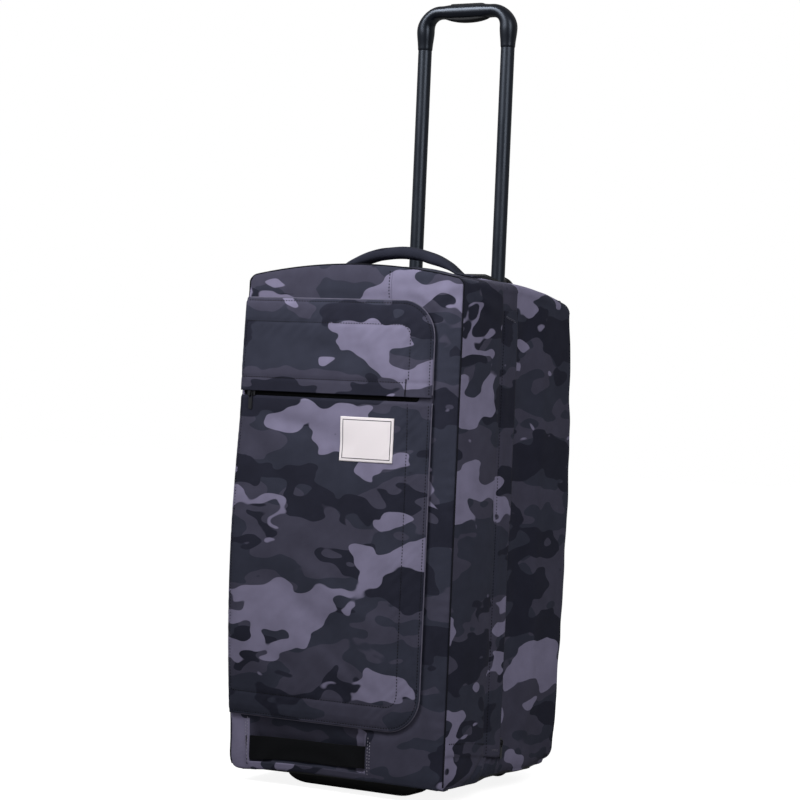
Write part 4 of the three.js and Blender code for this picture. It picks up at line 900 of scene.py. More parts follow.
def stretched_rows(low, high, rows, columns, past_corner):
    """A grid of x and z that fills the pocket's outline between two heights: each row runs from the seam side to
    the outline's right edge, which is an arc near the rounded corner. past_corner gives the height past its start."""
    z = low + (high - low) * (0.5 - 0.5 * np.cos(np.linspace(0, math.pi, rows)))
    z = (np.linspace(low, high, rows) * 0.55 + z * 0.45)[:, None]
    past = np.clip((past_corner(z)) / POCKET_CORNER, 0, 1)
    edge = POCKET_RIGHT - POCKET_CORNER * (1 - np.sqrt(1 - past**2))
    t = np.linspace(0, 1, columns)
    t = 0.7 * t + 0.3 * (0.5 - 0.5 * np.cos(math.pi * t))
    return np.broadcast_arrays(POCKET_LEFT + (edge - POCKET_LEFT) * t, z)


def front_patch(name, x, z, rise, thickness, shift, kind, *solids):
    """A sheet on the front, from grids of x, z and rise."""
    uv = stacked(x + shift[0], z + shift[1]) * MM
    return finish(put_grid(name, stacked(x, -rise, z), uv), kind, *solids, wall=thickness)


def make_pocket(cloth):
    """Lower and upper part of the raised front pocket, and the bare label on it."""
    amount = cloth.fullness
    x, z = stretched_rows(POCKET_LOW, PANEL_TOP, 190, 136, lambda z: POCKET_LOW + POCKET_CORNER - z)
    z = z + 10 * step_up(x, ZIP_END - 1, ZIP_END + 5) * step_up(z, PANEL_TOP - 14, PANEL_TOP)
    front_patch("pocket_lower", x, z, panel_rise(x, z, amount), 2.4, (300, 0), "print", "pocket_panel")
    x, z = stretched_rows(YOKE_EDGE, POCKET_HIGH, 62, 132, lambda z: z - (POCKET_HIGH - POCKET_CORNER))
    front_patch("pocket_upper", x, z, yoke_rise(x, z, amount), 2.6, (300, 14), "print", "pocket_yoke")
    # The rolled edges round the pocket take the fold finish, whose paler colour is a painted highlight
    x, z = pocket_outline(0.4, 700)
    for name, shown, rise in (
        ("pocket_lower_fold_painted_highlight", z < PANEL_TOP - 1, panel_rise),
        ("pocket_upper_fold_painted_highlight", z > YOKE_EDGE + 1, yoke_rise),
    ):
        shown &= x > POCKET_LEFT + 1.5
        start = int(np.flatnonzero(shown & ~np.roll(shown, 1))[0])
        order = np.roll(np.arange(len(x)), -start)
        order = order[shown[order]]
        path = stacked(x[order], -rise(x[order], z[order], amount) + 0.9, z[order])
        finish(put_tube(name, tube_rings(path, 1.0, (0, -1, 0), 8)), "fold")
    low, high = node_box("label_patch")
    x, z = plane(low[0], high[0], 60, low[2], high[2], 44)
    edge = np.minimum.reduce([x - low[0], high[0] - x, z - low[2], high[2] - z])
    rise = pocket_rise(x, z, amount) + 0.95 - 0.25 * np.exp(-np.abs(edge - 1.5) / 0.8)
    middle = (low + high) / 2
    front_patch("bare_label", x, z, rise, THIN_WALL, (-middle[0], -middle[2]), "label", "label_patch")


def make_strap():
    """Webbing across the hollow: a flat section carried along a shallow bow between the two turned edges."""
    x = np.linspace(-142, 56, 60)
    share = (x - x[0]) / (x[-1] - x[0])
    z = 49.5 + 6.0 * share + 0.8 * np.sin(math.pi * share * 2)
    path = stacked(x, 3.6 * np.sin(math.pi * share) ** 0.5 - 1.5, z)
    rings = tube_rings(path, (1.1, 15.0), (0, -1, 0), 40, squareness=9)
    lean = np.sin(math.pi * share) * 1.2
    rings[..., 1] += lean[:, None] * (z[:, None] - rings[..., 2]) / 15
    piece = put_tube("grab_webbing", rings, uv=stacked(x[:, None], rings[..., 2]) * MM)
    finish(piece, "webbing", "grab_strap")


def make_back(cloth):
    """Back cloth between the rear corners: full between the rails, flat under them. Two strips of it go down
    beside the kick plate, sunk where the plate lies on them and drawn in with the lower corners."""
    plate_high = node_box("kick_plate")[1]
    reach = HALF_WIDTH + REAR_SWELL - REAR_RADIUS + 0.6
    row = np.linspace(reach, -reach, 110)
    top = top_height(row, np.full_like(row, DEPTH)) - 0.2
    base = LOW + 0.5
    z = base + np.linspace(0, 1, 230)[:, None] * (top - base)
    x = np.broadcast_to(row, z.shape)
    seam = plate_high[2] + 0.3
    edge = np.minimum.reduce([reach - np.abs(x), np.maximum(z - seam, 0), top - z])
    held = 1 - np.exp(-(((np.abs(x) - 105) / 14) ** 2)) * step_up(-z, -620, -600)
    out = cloth.fullness * (2.6 * (1 - np.exp(-edge / 20)) + ripple(x, z, 51, 200, 60, 1.0)) * held
    out += seam_pull(edge - 1.5, z + x, 52, groove=0.7)
    sunk = 4.2 * step_up(-np.abs(x), -plate_high[0] - 0.5, -plate_high[0] + 5) * step_up(-z, -seam - 1, -seam + 3)
    drawn = foot_inset(z)
    depth = DEPTH - 0.6 + out * held - sunk - drawn * step_up(np.abs(x), 120, 150)
    kept = (z[1:, 1:] > seam) | (np.abs(x[1:, 1:]) > 132)
    piece = put_grid("back_cloth", stacked(x * (1 - drawn / reach), depth, z), stacked(2100 - x, z) * MM, kept)
    finish(piece, "print", "back_panel", wall=CLOTH_WALL)


def make_piping():
    """Corded piping up both front edges and along the crowned top edge: a small round section on one line."""
    height = np.linspace(LOW + 1, SHOULDER - SHOULDER_RADIUS, 150)
    side, _ = wall(np.zeros_like(height), height)
    up = stacked(side[:, 0] - 0.9, 0.4, height)
    angle = np.linspace(0, math.pi / 2, 9)[1:]
    turn_x = HALF_WIDTH - SHOULDER_RADIUS * (1 - np.cos(angle)) - 0.9
    over_x = np.linspace(HALF_WIDTH - SHOULDER_RADIUS - 4, -(HALF_WIDTH - SHOULDER_RADIUS - 4), 100)
    x = np.concatenate([turn_x, over_x, -turn_x[::-1]])
    over = stacked(x, 0.4, top_height(x, np.zeros_like(x)) - 0.4)
    rings = tube_rings(np.concatenate([up, over, up[::-1] * FLIP]), 0.95, (1, 0, 0), 10)
    finish(put_tube("front_piping_cord", rings), "piping", "front_piping_right", "front_piping_left")


COIL_WIDTH, COIL_PITCH, COIL_SIDES = 5.4, 1.7, 6
COIL_STATIONS = ((0.0, 0.35), (0.12, 0.62), (0.88, 0.62), (1.0, 0.35))  # share of the width, and radius there


def coil(name, path, normal):
    """Coil of a closed zip: short rounded bars across the path, one every pitch."""
    points, direction = resampled(path, COIL_PITCH)
    normal = np.broadcast_to(np.asarray(normal, dtype=float), points.shape)
    side = np.cross(normal, direction)
    start, end = points - side * COIL_WIDTH / 2, points + side * COIL_WIDTH / 2
    angle = (np.arange(COIL_SIDES) * TAU / COIL_SIDES)[None, :, None]
    round_bar = direction[:, None] * np.cos(angle) + normal[:, None] * np.sin(angle) * 1.3
    rings = [(start + (end - start) * share)[:, None] + radius * round_bar for share, radius in COIL_STATIONS]
    grid = np.stack(rings, axis=1)
    own = len(COIL_STATIONS) * COIL_SIDES
    starts = np.arange(len(points)) * own
    quads = grid_faces(len(COIL_STATIONS), COIL_SIDES, wrap_columns=True)[:, ::-1]
    faces = (quads[None] + starts[:, None, None]).reshape(-1, 4).tolist()
    cap = np.arange(COIL_SIDES)
    for start in starts:
        faces += [(start + cap).tolist(), (start + own - COIL_SIDES + cap)[::-1].tolist()]
    finish(put_mesh(name, grid, faces), "coil")


def make_zips():
    """Zip tapes and their coils: a tape follows the side, or the pocket's face, just under the cloth edges."""
    low, high = node_box("side_zip_right")
    s, z = plane(151, 181, 8, low[2], high[2], 80)
    depth = high[0] - TAPE_DEPTH
    points, uv = stacked(depth, s, z), stacked(s, z) * MM
    for side, sign in SIDES:
        put_side("side_zip_tape", side, sign, points, uv, "zip_tape", "side_zip", THIN_WALL)
        line = stacked(sign * (depth + 0.8), SIDE_ZIP, np.array([low[2] + 4, high[2] - 4]))
        coil(f"side_zip_coil_{side}", line, (sign, 0, 0))
    low, high = node_box("pocket_zip")
    x, z = plane(low[0], ZIP_END + 1, 100, low[2], high[2], 8)
    front_patch("pocket_zip_tape", x, z, -low[1] - TAPE_DEPTH, THIN_WALL, (0, 0), "zip_tape", "pocket_zip")
    coil("pocket_zip_coil", stacked(np.array([low[0] + 4, ZIP_END - 1]), low[1] + 1.4, POCKET_ZIP), (0, -1, 0))


def make_carry_handle(cloth):
    """Padded handle: an oval section carried along a parabola over the top, flattened at both sewn ends and pressed
    in by the cloth's folds."""
    set_back, reach, foot, rise = 123.0, 122.0, 97.0, 21.2
    x = -reach * np.cos(np.linspace(0, math.pi, 120))
    share = np.minimum(np.abs(x) / foot, 1)
    z = top_height(x, np.full_like(x, set_back)) + 0.3 + rise * (1 - share**2) + 2.0 * step_up(-share, -1, -0.8)
    path = stacked(x, set_back, z)
    thick = 8.5 + (1.8 - 8.5) * share**4
    wide = 13.0 - 0.6 * np.sin(math.pi * (1 - share))
    rings = tube_rings(path, stacked(thick, wide), (0, 0, 1), 40, squareness=2.5)
    angle = np.arange(40) * TAU / 40
    dent = 1 + cloth.fullness * 0.03 * ripple(x[:, None], angle[None, :] * 9, 81, 60, 14, 1.6)
    rings = path[:, None] + (rings - path[:, None]) * dent[..., None]
    piece = put_tube("carry_handle_cover", rings, uv=stacked(x[:, None] + 436, angle * 11 + 40) * MM)
    # The cover's print is darkened all over: a painted shade
    finish(piece, "dark_print_painted_shade", "carry_handle")


def make_stitches(cloth):
    """Every visible row of stitches, each on the surface that it holds."""
    amount = cloth.fullness

    def row(x, z, out):
        return stacked(x, -out, z), (0, -1, 0)

    runs = []
    for inset, yoke_start in zip(STITCH_INSETS, (1, 19)):
        x, z = pocket_outline(inset)
        inside = x > POCKET_LEFT + 3
        for shown, rise in ((z < PANEL_TOP - 1, panel_rise), (z > YOKE_EDGE + yoke_start, yoke_rise)):
            index = np.flatnonzero(shown & inside)
            for part in np.split(index, np.flatnonzero(np.diff(index) > 1) + 1):
                if len(part) > 3:
                    runs.append(row(x[part], z[part], rise(x[part], z[part], amount) + 0.25))
    x = np.linspace(POCKET_LEFT + 3, 96, 160)
    z = np.full_like(x, YOKE_EDGE + 19)
    runs.append(row(x, z, yoke_rise(x, z, amount) + 0.25))
    z = np.linspace(674, 712, 20)
    x = np.full_like(z, 56.6)
    runs.append(row(x, z, front_out(x, z, top_height(x, 0 * x), amount) + 0.55))
    sew("front_stitches", runs, "thread")
    runs = []
    for x, first, last in (
        (WINDOW_LEFT - 3.2, 31, 96),
        (WINDOW_LEFT - 6.6, 50, 84),
        (WINDOW_RIGHT + 3.0, 31, 84),
        (WINDOW_RIGHT + 6.0, 40, 78),
    ):
        z = np.linspace(first, last, 40)
        runs.append(row(x, z, front_out(np.full_like(z, x), z, 710.0, amount) - 0.1))
    sew("strap_fold_stitches", runs, "pale_thread")
    z = np.linspace(hem_height(FLAP_ROW) + 2, FLAP_HIGH - 1, 320)
    s = np.full_like(z, FLAP_ROW)
    side_runs = [side_point(s, z, flap_lift(s, z) + 0.35)]
    s = np.linspace(8, 114, 60)
    side_runs.append(side_point(s, hem_height(s) + 17, 0.7))
    tack_runs = []
    for start, end in (((126, 657), (156, 651)), ((136, 63), (156, 60))):
        s, low = np.linspace(start, end, 14).T
        for z in (low, low + 1.7):
            tack_runs.append(side_point(s, np.minimum(z, FLAP_HIGH - 0.6), flap_lift(s, z) + 0.2))
    tack = {"pitch": 2.2, "length": 1.7, "width": 0.5, "height": 0.3}
    for side, sign in SIDES:
        for name, rows, kind, size in (("stitches", side_runs, "thread", {}), ("tack", tack_runs, "pale_thread", tack)):
            sew(f"flap_{name}_{side}", [(p * (sign, 1, 1), n * (sign, 1, 1)) for p, n in rows], kind, **size)
    z = np.linspace(YOKE_EDGE + 0.6, YOKE_EDGE + 24, 40)
    runs = [row(x, z, yoke_rise(np.full_like(z, x), z, amount) - 0.1) for x in (94.3, 95.3)]
    sew("pocket_bar_tack", runs, "thread", pitch=0.9, length=1.4, width=0.9)


def make_front_overlap(cloth):
    """The front's upright overlap above the pocket: a narrow turned edge on the right-hand cloth."""
    x, z = plane(55.2, 60.5, 7, 671, 712, 24)
    top = top_height(x, 0 * x) - 0.6
    z = np.minimum(z, top)
    rise = front_out(x, z, top + 0.6, cloth.fullness) + 0.9 * np.exp(-(((x - 58.4) / 2.0) ** 2)) - 0.3
    front_patch("front_overlap", x, z, rise, THIN_WALL, (FRONT_PRINT, 0), "print")


# Handle, base and wheels


def turned(name, profile, centre, kind, *solids, axis="x", sides=72, body="bag"):
    """A closed ring: a profile of radius and place along the axis, outside first and back inside, turned round it."""
    radius, place = np.array(profile, dtype=float).T[..., None]
    angle = np.arange(sides) * TAU / sides
    c, s = radius * np.cos(angle), radius * np.sin(angle)
    grid = (stacked(place, c, s) if axis == "x" else stacked(c, s, place)) + np.array(centre, dtype=float)
    faces = grid_faces(*grid.shape[:2], wrap_rows=True, wrap_columns=True)
    return sharpen(finish(put_mesh(name, grid, faces, body=body), kind, *solids))


def rounded_outline(middle, half, radius, steps, inset=0.0):
    """Anticlockwise outline of a rectangle with round corners, drawn in by inset. radius is one value or one for
    each corner, from low right anticlockwise."""
    radii = np.broadcast_to(radius, (4,))
    points = []
    for (sx, sz), r, start in zip(((1, -1), (1, 1), (-1, 1), (-1, -1)), radii, (-0.25, 0, 0.25, 0.5)):
        own = max(r - inset, 0.05)
        angle = start * TAU + np.linspace(0, math.pi / 2, steps)
        cx = middle[0] + sx * (half[0] - inset - own)
        cz = middle[1] + sz * (half[1] - inset - own)
        points.append(stacked(cx + own * np.cos(angle), cz + own * np.sin(angle)))
    return np.concatenate(points)


def moulding(name, axis, low, high, bevel, outline, *solids, kind="moulding", slot=None, body="bag", stretch=1.0):
    """A flat moulding: a rounded outline, from its middle, half size, radius and steps, carried along y or z with
    quarter-round edges. It is drawn narrower by stretch and then widened, which makes its corners oval."""
    turn = np.linspace(0, math.pi / 2, 5)
    insets = bevel * (1 - np.sin(np.concatenate([turn, turn[::-1]])))
    places = np.concatenate([low + bevel * (1 - np.cos(turn)), high - bevel * (1 - np.cos(turn[::-1]))])
    (cx, cz), (wide, tall), *corner = outline
    rings = []
    for inset, at in zip(insets, places):
        x, other = rounded_outline((cx / stretch, cz), (wide / stretch, tall), *corner, inset=inset).T
        x = x * stretch
        rings.append(stacked(x, at, other) if axis == "y" else stacked(x, other, at))
    rings = rings[::-1] if axis == "y" else rings
    return sharpen(finish(put_tube(name, np.stack(rings), body), kind, *solids, slot=slot))


TUBE_X = 68.5
TUBE_Y = 287.6
JOINT = 1053.0
BAR = JOINT + 54.5
BEND = 26.0  # radius of the grip's two bends
BELLY_HALF = 36.0  # half length of the soft insert under the bar


def make_trolley():
    """Drawn tubes and the grip: smooth sections carried along the handle's own line. The grip's section grows up
    its legs, turns through two round bends and narrows to the bar."""
    for side, sign in SIDES:
        low, high = (corner[2] for corner in node_box(f"inner_tube_{side}"))
        profile = [(8.7, low), (9.6, low), (10.0, low + 0.4), (10.0, high - 0.2), (9.8, high), (8.7, high)]
        centre = (sign * TUBE_X, TUBE_Y, 0)
        turned(
            f"trolley_tube_{side}", profile, centre, "tube", f"inner_tube_{side}", axis="z", sides=64, body="trolley"
        )
    leg = np.concatenate([[JOINT, JOINT + 0.4, JOINT + 1.2], np.linspace(JOINT + 3, BAR - BEND, 14)])
    angle = np.linspace(0, math.pi / 2, 20)[1:]
    bend = stacked(TUBE_X - BEND + BEND * np.cos(angle), BAR - BEND + BEND * np.sin(angle))
    half = np.concatenate([stacked(TUBE_X, leg), bend])
    bar = stacked(np.linspace(TUBE_X - BEND, -(TUBE_X - BEND), 40)[1:-1], BAR)
    x, z = np.concatenate([half, bar, half[::-1] * np.array([-1, 1])]).T
    up = step_up(z, JOINT, BAR - BEND)
    turned_in = step_up(z, BAR - BEND, BAR - 2)
    lip = 0.7 * np.exp(-np.abs(z - JOINT) / 0.5)
    swollen = step_up(-np.abs(x), -40, -24) * step_up(z, BAR - 1, BAR - 0.5)
    across = 10.4 + 2.1 * up - 3.0 * turned_in + 1.2 * swollen - lip
    radii = stacked(across, 10.4 + 2.6 * up - lip)
    rings = tube_rings(stacked(x, TUBE_Y, z), radii, (1, 0, 0), 56, squareness=2.25)
    sharpen(finish(put_tube("grip_cover", rings, "trolley"), "grip", "grip_shell"))
    x = np.linspace(-BELLY_HALF, BELLY_HALF, 60)
    share = np.abs(x) / BELLY_HALF
    sag = 6.0 * (1 - share**2.2)
    radii = stacked(0.9 + sag / 2, 9.6 * np.sqrt(np.maximum(1 - share**4, 0.02)))
    rings = tube_rings(stacked(x, TUBE_Y, BAR - 8.9 - sag / 2), radii, (0, 0, 1), 40, squareness=2.4)
    sharpen(finish(put_tube("grip_underside", rings, "trolley"), "soft", "grip_belly"))
    low, high = node_box("grip_button")
    outline = (((low + high) / 2)[:2], (28, 6.4), 6.3, 8)
    moulding(
        "grip_release_button", "z", low[2], high[2] - 1.9, 2.0, outline, "grip_button",
        kind="soft", slot="grip_plastic", body="release",
    )


# Cup's section from outside to inside: inset, height and whether that is counted from the rim
CUP_STEPS = (
    (0.0, 640, 0), (0.0, 660, 0), (0.0, -4.0, 1), (-0.6, -2.4, 1), (0.2, -0.9, 1), (1.8, -0.1, 1), (3.4, 0.0, 1),
    (5.2, -0.4, 1), (6.6, -1.6, 1), (7.1, -3.6, 1), (7.3, -12.0, 1), (8.4, 652, 0), (12.0, 646, 0), (16.0, 645, 0),
)


CUP_RIM, CUP_FALL = 727.0, 21  # height of the rim's middle, and how far its ends fall
CUP_WIDE, CUP_CORNER = 31, 28  # half width and corner radius


def make_cup():
    """Cup that takes the grip: a rounded outline swept up its wall, over a round rim and down inside. The rim is
    flat in the middle and falls at the ends."""
    rings = []
    for inset, level, on_rim in CUP_STEPS:
        x, y = rounded_outline((0, TUBE_Y), (CUP_HALF, CUP_WIDE), CUP_CORNER, 14, inset).T
        rings.append(stacked(x, y, on_rim * (CUP_RIM - CUP_FALL * np.abs(x / CUP_HALF) ** 4.6) + level))
    sharpen(finish(put_tube("handle_cup", np.stack(rings)), "moulding", "trolley_cup"))


def tray_outline():
    """Outline of the base tray: round corners, and two bays at the back that leave room for the wheel housings."""
    low, high = node_box("wheel_housing_right")
    inner, outer, front = low[0] - 0.4, high[0] + 0.4, low[1] - 0.4
    half, back = 163.0, DEPTH - 6.0
    along = np.concatenate([np.linspace(60, CORNER_START - 60, 6), np.linspace(CORNER_START - 50, WRAP, 16)])
    edge, out = wall(along, np.full_like(along, LOW))
    side = (edge - 6.0 * out)[:, :2] - 10.0 * near_corner(along)[:, None]
    side = side[side[:, 0] > outer + 1]
    turn = np.linspace(-math.pi / 2, 0, 6)
    front_arc = stacked(half - 12 + 12 * np.cos(turn), 18 + 12 * np.sin(turn))
    bay = np.array([(outer, side[-1, 1]), (outer, front), (inner, front), (inner, back)])
    right = np.concatenate([front_arc, side, bay])
    return np.concatenate([right, right[::-1] * np.array([-1, 1])])


def make_tray():
    """Tray that closes the base: its outline carried up by its thickness, with low ribs under it."""
    rings = np.stack([stacked(*tray_outline().T, z) for z in (LOW - 3.8, LOW - 0.2)])
    parts = [finish(put_tube("tray_floor", rings), "moulding")]
    for level in (100, 130, 160, 190, 220):
        parts.append(moulding("tray_rib", "z", LOW - 5.6, LOW - 3.0, 0.8, ((0, level), (140, 1.6), 1.5, 4)))
    join_pieces(parts, "base_tray")


def make_base():
    """Foot, kick plate and skid rails, moulded with round edges."""
    rails = [(f"back_rail_{side}", f"skid_rail_{side}", 2.6, 7.8, 10, 1.0) for side, _ in SIDES]
    made = {}
    for name, solid, bevel, radius, steps, stretch in (
        ("standing_foot", "front_foot", 2.2, (19, 1.4, 1.4, 19), 10, 1.9),
        ("back_kick_plate", "kick_plate", 1.2, (34, 12, 12, 34), 8, 1.0),
        *rails,
    ):
        (low, high), (middle, half) = node_box(solid), middle_half(solid)
        outline = (middle[::2], half[::2], radius, steps)
        solids = () if solid == "kick_plate" else (solid,)
        made[name] = moulding(name, "y", low[1], high[1], bevel, outline, *solids, stretch=stretch)
    back = node_box("kick_plate")[1][1]
    parts = [made["back_kick_plate"]]
    for level in (56, 68, 80, 92):
        parts.append(moulding("rib", "y", back - 1.0, back + 1.6, 1.0, ((0, level), (118, 2.2), 2.1, 5)))
    join_pieces(parts, "kick_plate")


# Half of the hub's section: radius and place along the axle
HUB_HALF = (
    (8.1, -11.5), (11.0, -11.5), (11.4, -11.1), (11.6, -3.0), (23.5, -2.6), (25.2, -11.0), (25.8, -11.6),
    (27.6, -11.6), (27.95, -11.2),
)


WHEEL_X, WHEEL_Y, WHEEL_RADIUS = 96.0, 297.0, 35.0
TYRE_HALF, TYRE_BORE = 12, 28.1  # half width, and radius of the seat
HUB_RIBS = 5


def make_wheels():
    """Wheels: a tyre with a crowned tread, and a dished hub with ribs."""
    arc = np.linspace(-1, 1, 15)
    crown = stacked(WHEEL_RADIUS - 5.0 * np.abs(arc) ** 3.2, TYRE_HALF * arc)
    tread = [*crown, (TYRE_BORE, TYRE_HALF), (TYRE_BORE, -TYRE_HALF)]
    section = [*HUB_HALF, *((radius, -place) for radius, place in HUB_HALF[::-1])]
    for side, sign in SIDES:
        centre = np.array([sign * WHEEL_X, WHEEL_Y, WHEEL_RADIUS])
        body = f"wheel_{side}"
        turned(f"wheel_tread_{side}", tread, centre, "tread", f"wheel_tyre_{side}", sides=96, body=body)
        parts = [turned(f"wheel_core_{side}", section, centre, "hub", body=body)]
        for turn in np.arange(HUB_RIBS) * TAU / HUB_RIBS:
            path = centre + np.linspace(10.5, 25.5, 6)[:, None] * (0, math.cos(turn), math.sin(turn))
            rings = tube_rings(path, (9.6, 1.6), (1, 0, 0), 20, squareness=6)
            parts.append(sharpen(finish(put_tube("rib", rings, body), "hub")))
        join_pieces(parts, f"wheel_hub_{side}")


# Solids that are carried over; a name that ends in an underscore stands for a right and a left one
CARRIED = {
    "lining": ("frame_sheet",),
    "moulding": ("tube_bracket", "wheel_housing_", "guide_bush_", "tube_glide_"),
    "bare_aluminium": ("release_link", "outer_tube_"),
    "gunmetal": ("pocket_slider", "pocket_pull", "side_slider_", "side_pull_"),
    "steel": ("wheel_bearings_", "wheel_axle_", "lock_pin_", "release_rod_"),
}


def dress_nodes():
    """Better materials on the solids that still show."""
    for kind, names in CARRIED.items():
        for name in names:
            for side in ("right", "left") if name.endswith("_") else ("",):
                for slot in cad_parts[name + side].material_slots:
                    slot.material = FINISHES[kind]


# Settings


def colour(name, description, default):
    """A colour that a user may change, as an sRGB hex value."""
    return StringProperty(name=name, description=description, default=default)


def number(name, description, default, **limits):
    """A size or strength that a user may change."""
    return FloatProperty(name=name, description=description, default=default, **limits)


class ClothSettings(bpy.types.PropertyGroup):
    """Printed cloth of the body."""

    slate: colour("Slate", "Ground colour of the print", "#323441")
    mid_grey: colour("Middle grey", "Second tone of the print", "#403f4e")
    night: colour("Night", "Darkest tone of the print", "#252632")
    pale_grey: colour("Pale grey", "Lightest tone of the print", "#76728a")
    # The folded edges' paler colour is a painted highlight, in place of the light they catch
    fold: colour("Fold", "Colour of the cloth's folded edges", "#5c5a6a")
    print_scale: number("Print scale", "Size of the print's shapes, 1 as photographed", 1.0, min=0.3, max=3)
    # The real threads are finer than a render shows
    weave: number("Weave", "Spacing drawn for the threads, in millimetres", 1.5, min=0.4, max=5)
    fullness: number("Fullness", "Depth of ripples and puckers, 1 as photographed", 1.0, min=0, max=3)


class TrimSettings(bpy.types.PropertyGroup):
    """Colours of webbing, thread, mouldings and metal."""

    webbing: colour("Webbing", "Colour of the webbing and zip coil", "#0f1013")
    tape: colour("Tape", "Colour of the zip tape", "#121319")
    thread: colour("Thread", "Colour of the tonal thread", "#0b0c10")
    pale_thread: colour("Pale thread", "Colour of the thread at the strap's folds", "#8b8896")
    piping: colour("Piping", "Colour of the front edge's piping", "#15161e")
    lining: colour("Lining", "Colour of the lining", "#26272c")
    label: colour("Label", "Colour of the bare woven label", "#e6dfe3")
    label_line: colour("Label line", "Colour of the label's woven border", "#3c3a44")
    moulding: colour("Moulding", "Colour of the base, cup and housings", "#131417")
    grip: colour("Grip", "Colour of the grip", "#0a0c12")
    soft_grip: colour("Soft grip", "Colour of the button and the insert under the bar", "#151619")
    tube: colour("Tube", "Colour of the drawn tubes", "#0b0e15")
    gunmetal: colour("Gunmetal", "Colour of sliders and pulls", "#4a4b50")


class StageSettings(bpy.types.PropertyGroup):
    """Light and floor."""

    key: number("Key light", "Power of the lamp at the front left, in watts", 6.5, min=0, subtype="POWER")
    fill: number("Fill light", "Power of the lamp at the right, in watts", 9.0, min=0, subtype="POWER")
    sky: number("Sky", "Strength of the even light from all round", 0.27, min=0)


# Operators


class BAG_OT_materials(bpy.types.Operator):
    """Make every finish and dress the solids that still show"""

    bl_idname = "bag.materials"
    bl_label = "Finishes"

    def execute(self, context):
        FINISHES.update(make_materials(context.scene.bag_cloth, context.scene.bag_trim))
        dress_nodes()
        return {"FINISHED"}


class BAG_OT_body(bpy.types.Operator):
    """Make the cloth of the sides, top, front and back"""

    bl_idname = "bag.body"
    bl_label = "Body cloth"

    def execute(self, context):
        for make in (make_shell, make_front, make_front_overlap, make_back):
            make(context.scene.bag_cloth)
        make_piping()
        return {"FINISHED"}


class BAG_OT_pocket(bpy.types.Operator):
    """Make the raised front pocket"""

    bl_idname = "bag.pocket"
    bl_label = "Front pocket"

    def execute(self, context):
        make_pocket(context.scene.bag_cloth)
        return {"FINISHED"}


class BAG_OT_zips(bpy.types.Operator):
    """Make the zip tapes, their coils and the storm flaps"""

    bl_idname = "bag.zips"
    bl_label = "Zips and storm flaps"

    def execute(self, context):
        make_zips()
        make_flaps(context.scene.bag_cloth)
        return {"FINISHED"}


class BAG_OT_carry_handle(bpy.types.Operator):
    """Make the padded carry handle and the grab strap"""

    bl_idname = "bag.carry_handle"
    bl_label = "Carry handle"

    def execute(self, context):
        make_carry_handle(context.scene.bag_cloth)
        make_strap()
        return {"FINISHED"}


class BAG_OT_stitches(bpy.types.Operator):
    """Sew every visible row of stitches"""

    bl_idname = "bag.stitches"
    bl_label = "Stitches"

    def execute(self, context):
        make_stitches(context.scene.bag_cloth)
        return {"FINISHED"}


class BAG_OT_trolley(bpy.types.Operator):
    """Make the telescoping handle's tubes, grip and cup"""

    bl_idname = "bag.trolley"
    bl_label = "Telescoping handle"

    def execute(self, context):
        make_trolley()
        make_cup()
        return {"FINISHED"}


class BAG_OT_base(bpy.types.Operator):
    """Make the tray, foot, kick plate, rails and wheels"""

    bl_idname = "bag.base"
    bl_label = "Base and wheels"

    def execute(self, context):
        make_tray()
        make_base()
        make_wheels()
        return {"FINISHED"}


CAMERA = {
    "azimuth": 29.829,
    "elevation": 0.288,
    "roll": 2.447,
    "distance": 3.32826,
    "right": -0.00109,
    "up": 0.15955,
    "target": (0.0, -0.0175, 0.378),
    "focal": 2364.288,
    "frame": 800.0,
}
FLOOR_REACH = 12.0


def link_new(name, data):
    """A new object of the scene."""
    new = bpy.data.objects.new(name, data)
    bpy.context.scene.collection.objects.link(new)
    return new


def place_camera():
    """A long lens at the photograph's viewing angle: the camera looks along one direction from a point that is
    moved right and up in its own plane, and is rolled about its line of sight."""
    azimuth, elevation, roll = (math.radians(CAMERA[key]) for key in ("azimuth", "elevation", "roll"))
    level = math.cos(elevation)
    back = Vector((math.sin(azimuth) * level, -math.cos(azimuth) * level, math.sin(elevation)))
    right = Vector((math.cos(azimuth), math.sin(azimuth), 0))
    up = right.cross(-back)
    place = Vector(CAMERA["target"]) + right * CAMERA["right"] + up * CAMERA["up"] + back * CAMERA["distance"]
    turned_right = right * math.cos(roll) + up * math.sin(roll)
    turned_up = up * math.cos(roll) - right * math.sin(roll)
    data = bpy.data.cameras.new("camera")
    data.sensor_width = 36.0
    data.lens = CAMERA["focal"] / CAMERA["frame"] * data.sensor_width
    data.clip_end = 50.0
    camera = link_new("camera", data)
    camera.matrix_world = Matrix.Translation(place) @ Matrix((turned_right, turned_up, back)).transposed().to_4x4()
    bpy.context.scene.camera = camera


def area_lamp(name, place, target, size, spread, power):
    """A square soft lamp that faces a point; spread is the full angle of its beam in degrees."""
    data = bpy.data.lights.new(name, "AREA")
    data.size = size
    data.spread = math.radians(spread)
    data.energy = power
    lamp = link_new(name, data)
    lamp.location = place
    lamp.rotation_euler = (Vector(target) - Vector(place)).to_track_quat("-Z", "Y").to_euler()


def shown_white(tree, dim, strength):
    """A strength that is the second value where the camera sees it directly, else the first."""
    seen = node(tree, "LightPath").outputs["Is Camera Ray"]
    return node(tree, "MapRange", {"Value": seen, "To Min": dim, "To Max": strength})


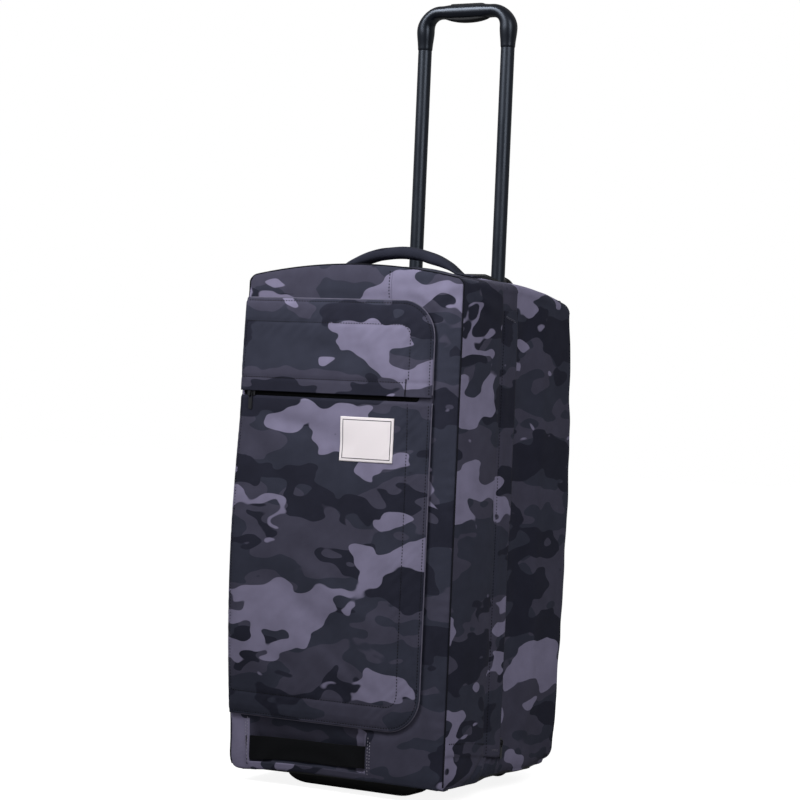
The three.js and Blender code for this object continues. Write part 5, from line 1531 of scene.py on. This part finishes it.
class BAG_OT_stage(bpy.types.Operator):
    """Make the camera, the lamps, the floor and the backdrop"""

    bl_idname = "bag.stage"
    bl_label = "Stage"

    def execute(self, context):
        settings = context.scene.bag_stage
        place_camera()
        area_lamp("key_lamp", (-0.65, -1.15, 1.8), (0, -0.1, 1.0), 0.9, 60, settings.key)
        area_lamp("fill_lamp", (1.5, -1.0, 1.5), (0.1, -0.1, 0.6), 1.1, 120, settings.fill)
        world = bpy.data.worlds.new("studio")
        world.use_nodes = True
        tree = world.node_tree
        tree.nodes.clear()
        white = {"Color": (1, 1, 1, 1), "Strength": shown_white(tree, settings.sky, 1.0)}
        node(tree, "OutputWorld", {"Surface": node(tree, "Background", white)})
        context.scene.world = world
        mesh = bpy.data.meshes.new("floor")
        around = [(x * FLOOR_REACH, y * FLOOR_REACH, 0) for x, y in ((-1, -1), (1, -1), (1, 1), (-1, 1))]
        mesh.from_pydata(around, [], [(0, 1, 2, 3)])
        floor = link_new("floor", mesh)
        material, tree, shader = start_material("studio_floor_paint", Roughness=0.9, Specular_IOR_Level=0.1)
        shader.inputs["Base Color"].default_value = linear("#b4b4b4")
        glow = node(tree, "Emission", {"Color": (1, 1, 1, 1), "Strength": shown_white(tree, 0.0, 0.88)})
        both = node(tree, "AddShader", {0: shader, 1: glow})
        output = next(n for n in tree.nodes if n.type == "OUTPUT_MATERIAL")
        tree.links.new(both.outputs[0], output.inputs["Surface"])
        floor.data.materials.append(material)
        context.scene.view_settings.view_transform = "Standard"
        return {"FINISHED"}


class BAG_PT_panel(bpy.types.Panel):
    """Settings and makers of the duffel bag"""

    bl_label = "Rolling duffel bag"
    bl_space_type = "VIEW_3D"
    bl_region_type = "UI"
    bl_category = "Duffel bag"

    def draw(self, context):
        scene = context.scene
        for group in (scene.bag_cloth, scene.bag_trim, scene.bag_stage):
            box = self.layout.box()
            for name in group.bl_rna.properties.keys():
                if name not in {"rna_type", "name"}:
                    box.prop(group, name)
        for operator in OPERATORS:
            self.layout.operator(operator.bl_idname)


GROUPS = {"bag_cloth": ClothSettings, "bag_trim": TrimSettings, "bag_stage": StageSettings}
OPERATORS = (
    BAG_OT_materials,
    BAG_OT_body,
    BAG_OT_pocket,
    BAG_OT_zips,
    BAG_OT_carry_handle,
    BAG_OT_stitches,
    BAG_OT_trolley,
    BAG_OT_base,
    BAG_OT_stage,
)
CLASSES = (*GROUPS.values(), *OPERATORS, BAG_PT_panel)


def register():
    for one in CLASSES:
        bpy.utils.register_class(one)
    for name, group in GROUPS.items():
        setattr(bpy.types.Scene, name, PointerProperty(type=group))


def unregister():
    for name in GROUPS:
        delattr(bpy.types.Scene, name)
    for one in reversed(CLASSES):
        bpy.utils.unregister_class(one)


def main():
    register()
    bpy.ops.bag.materials()
    bpy.ops.bag.body()
    bpy.ops.bag.pocket()
    bpy.ops.bag.zips()
    bpy.ops.bag.carry_handle()
    bpy.ops.bag.stitches()
    bpy.ops.bag.trolley()
    bpy.ops.bag.base()
    bpy.ops.bag.stage()


if __name__ == "__main__":
    main()
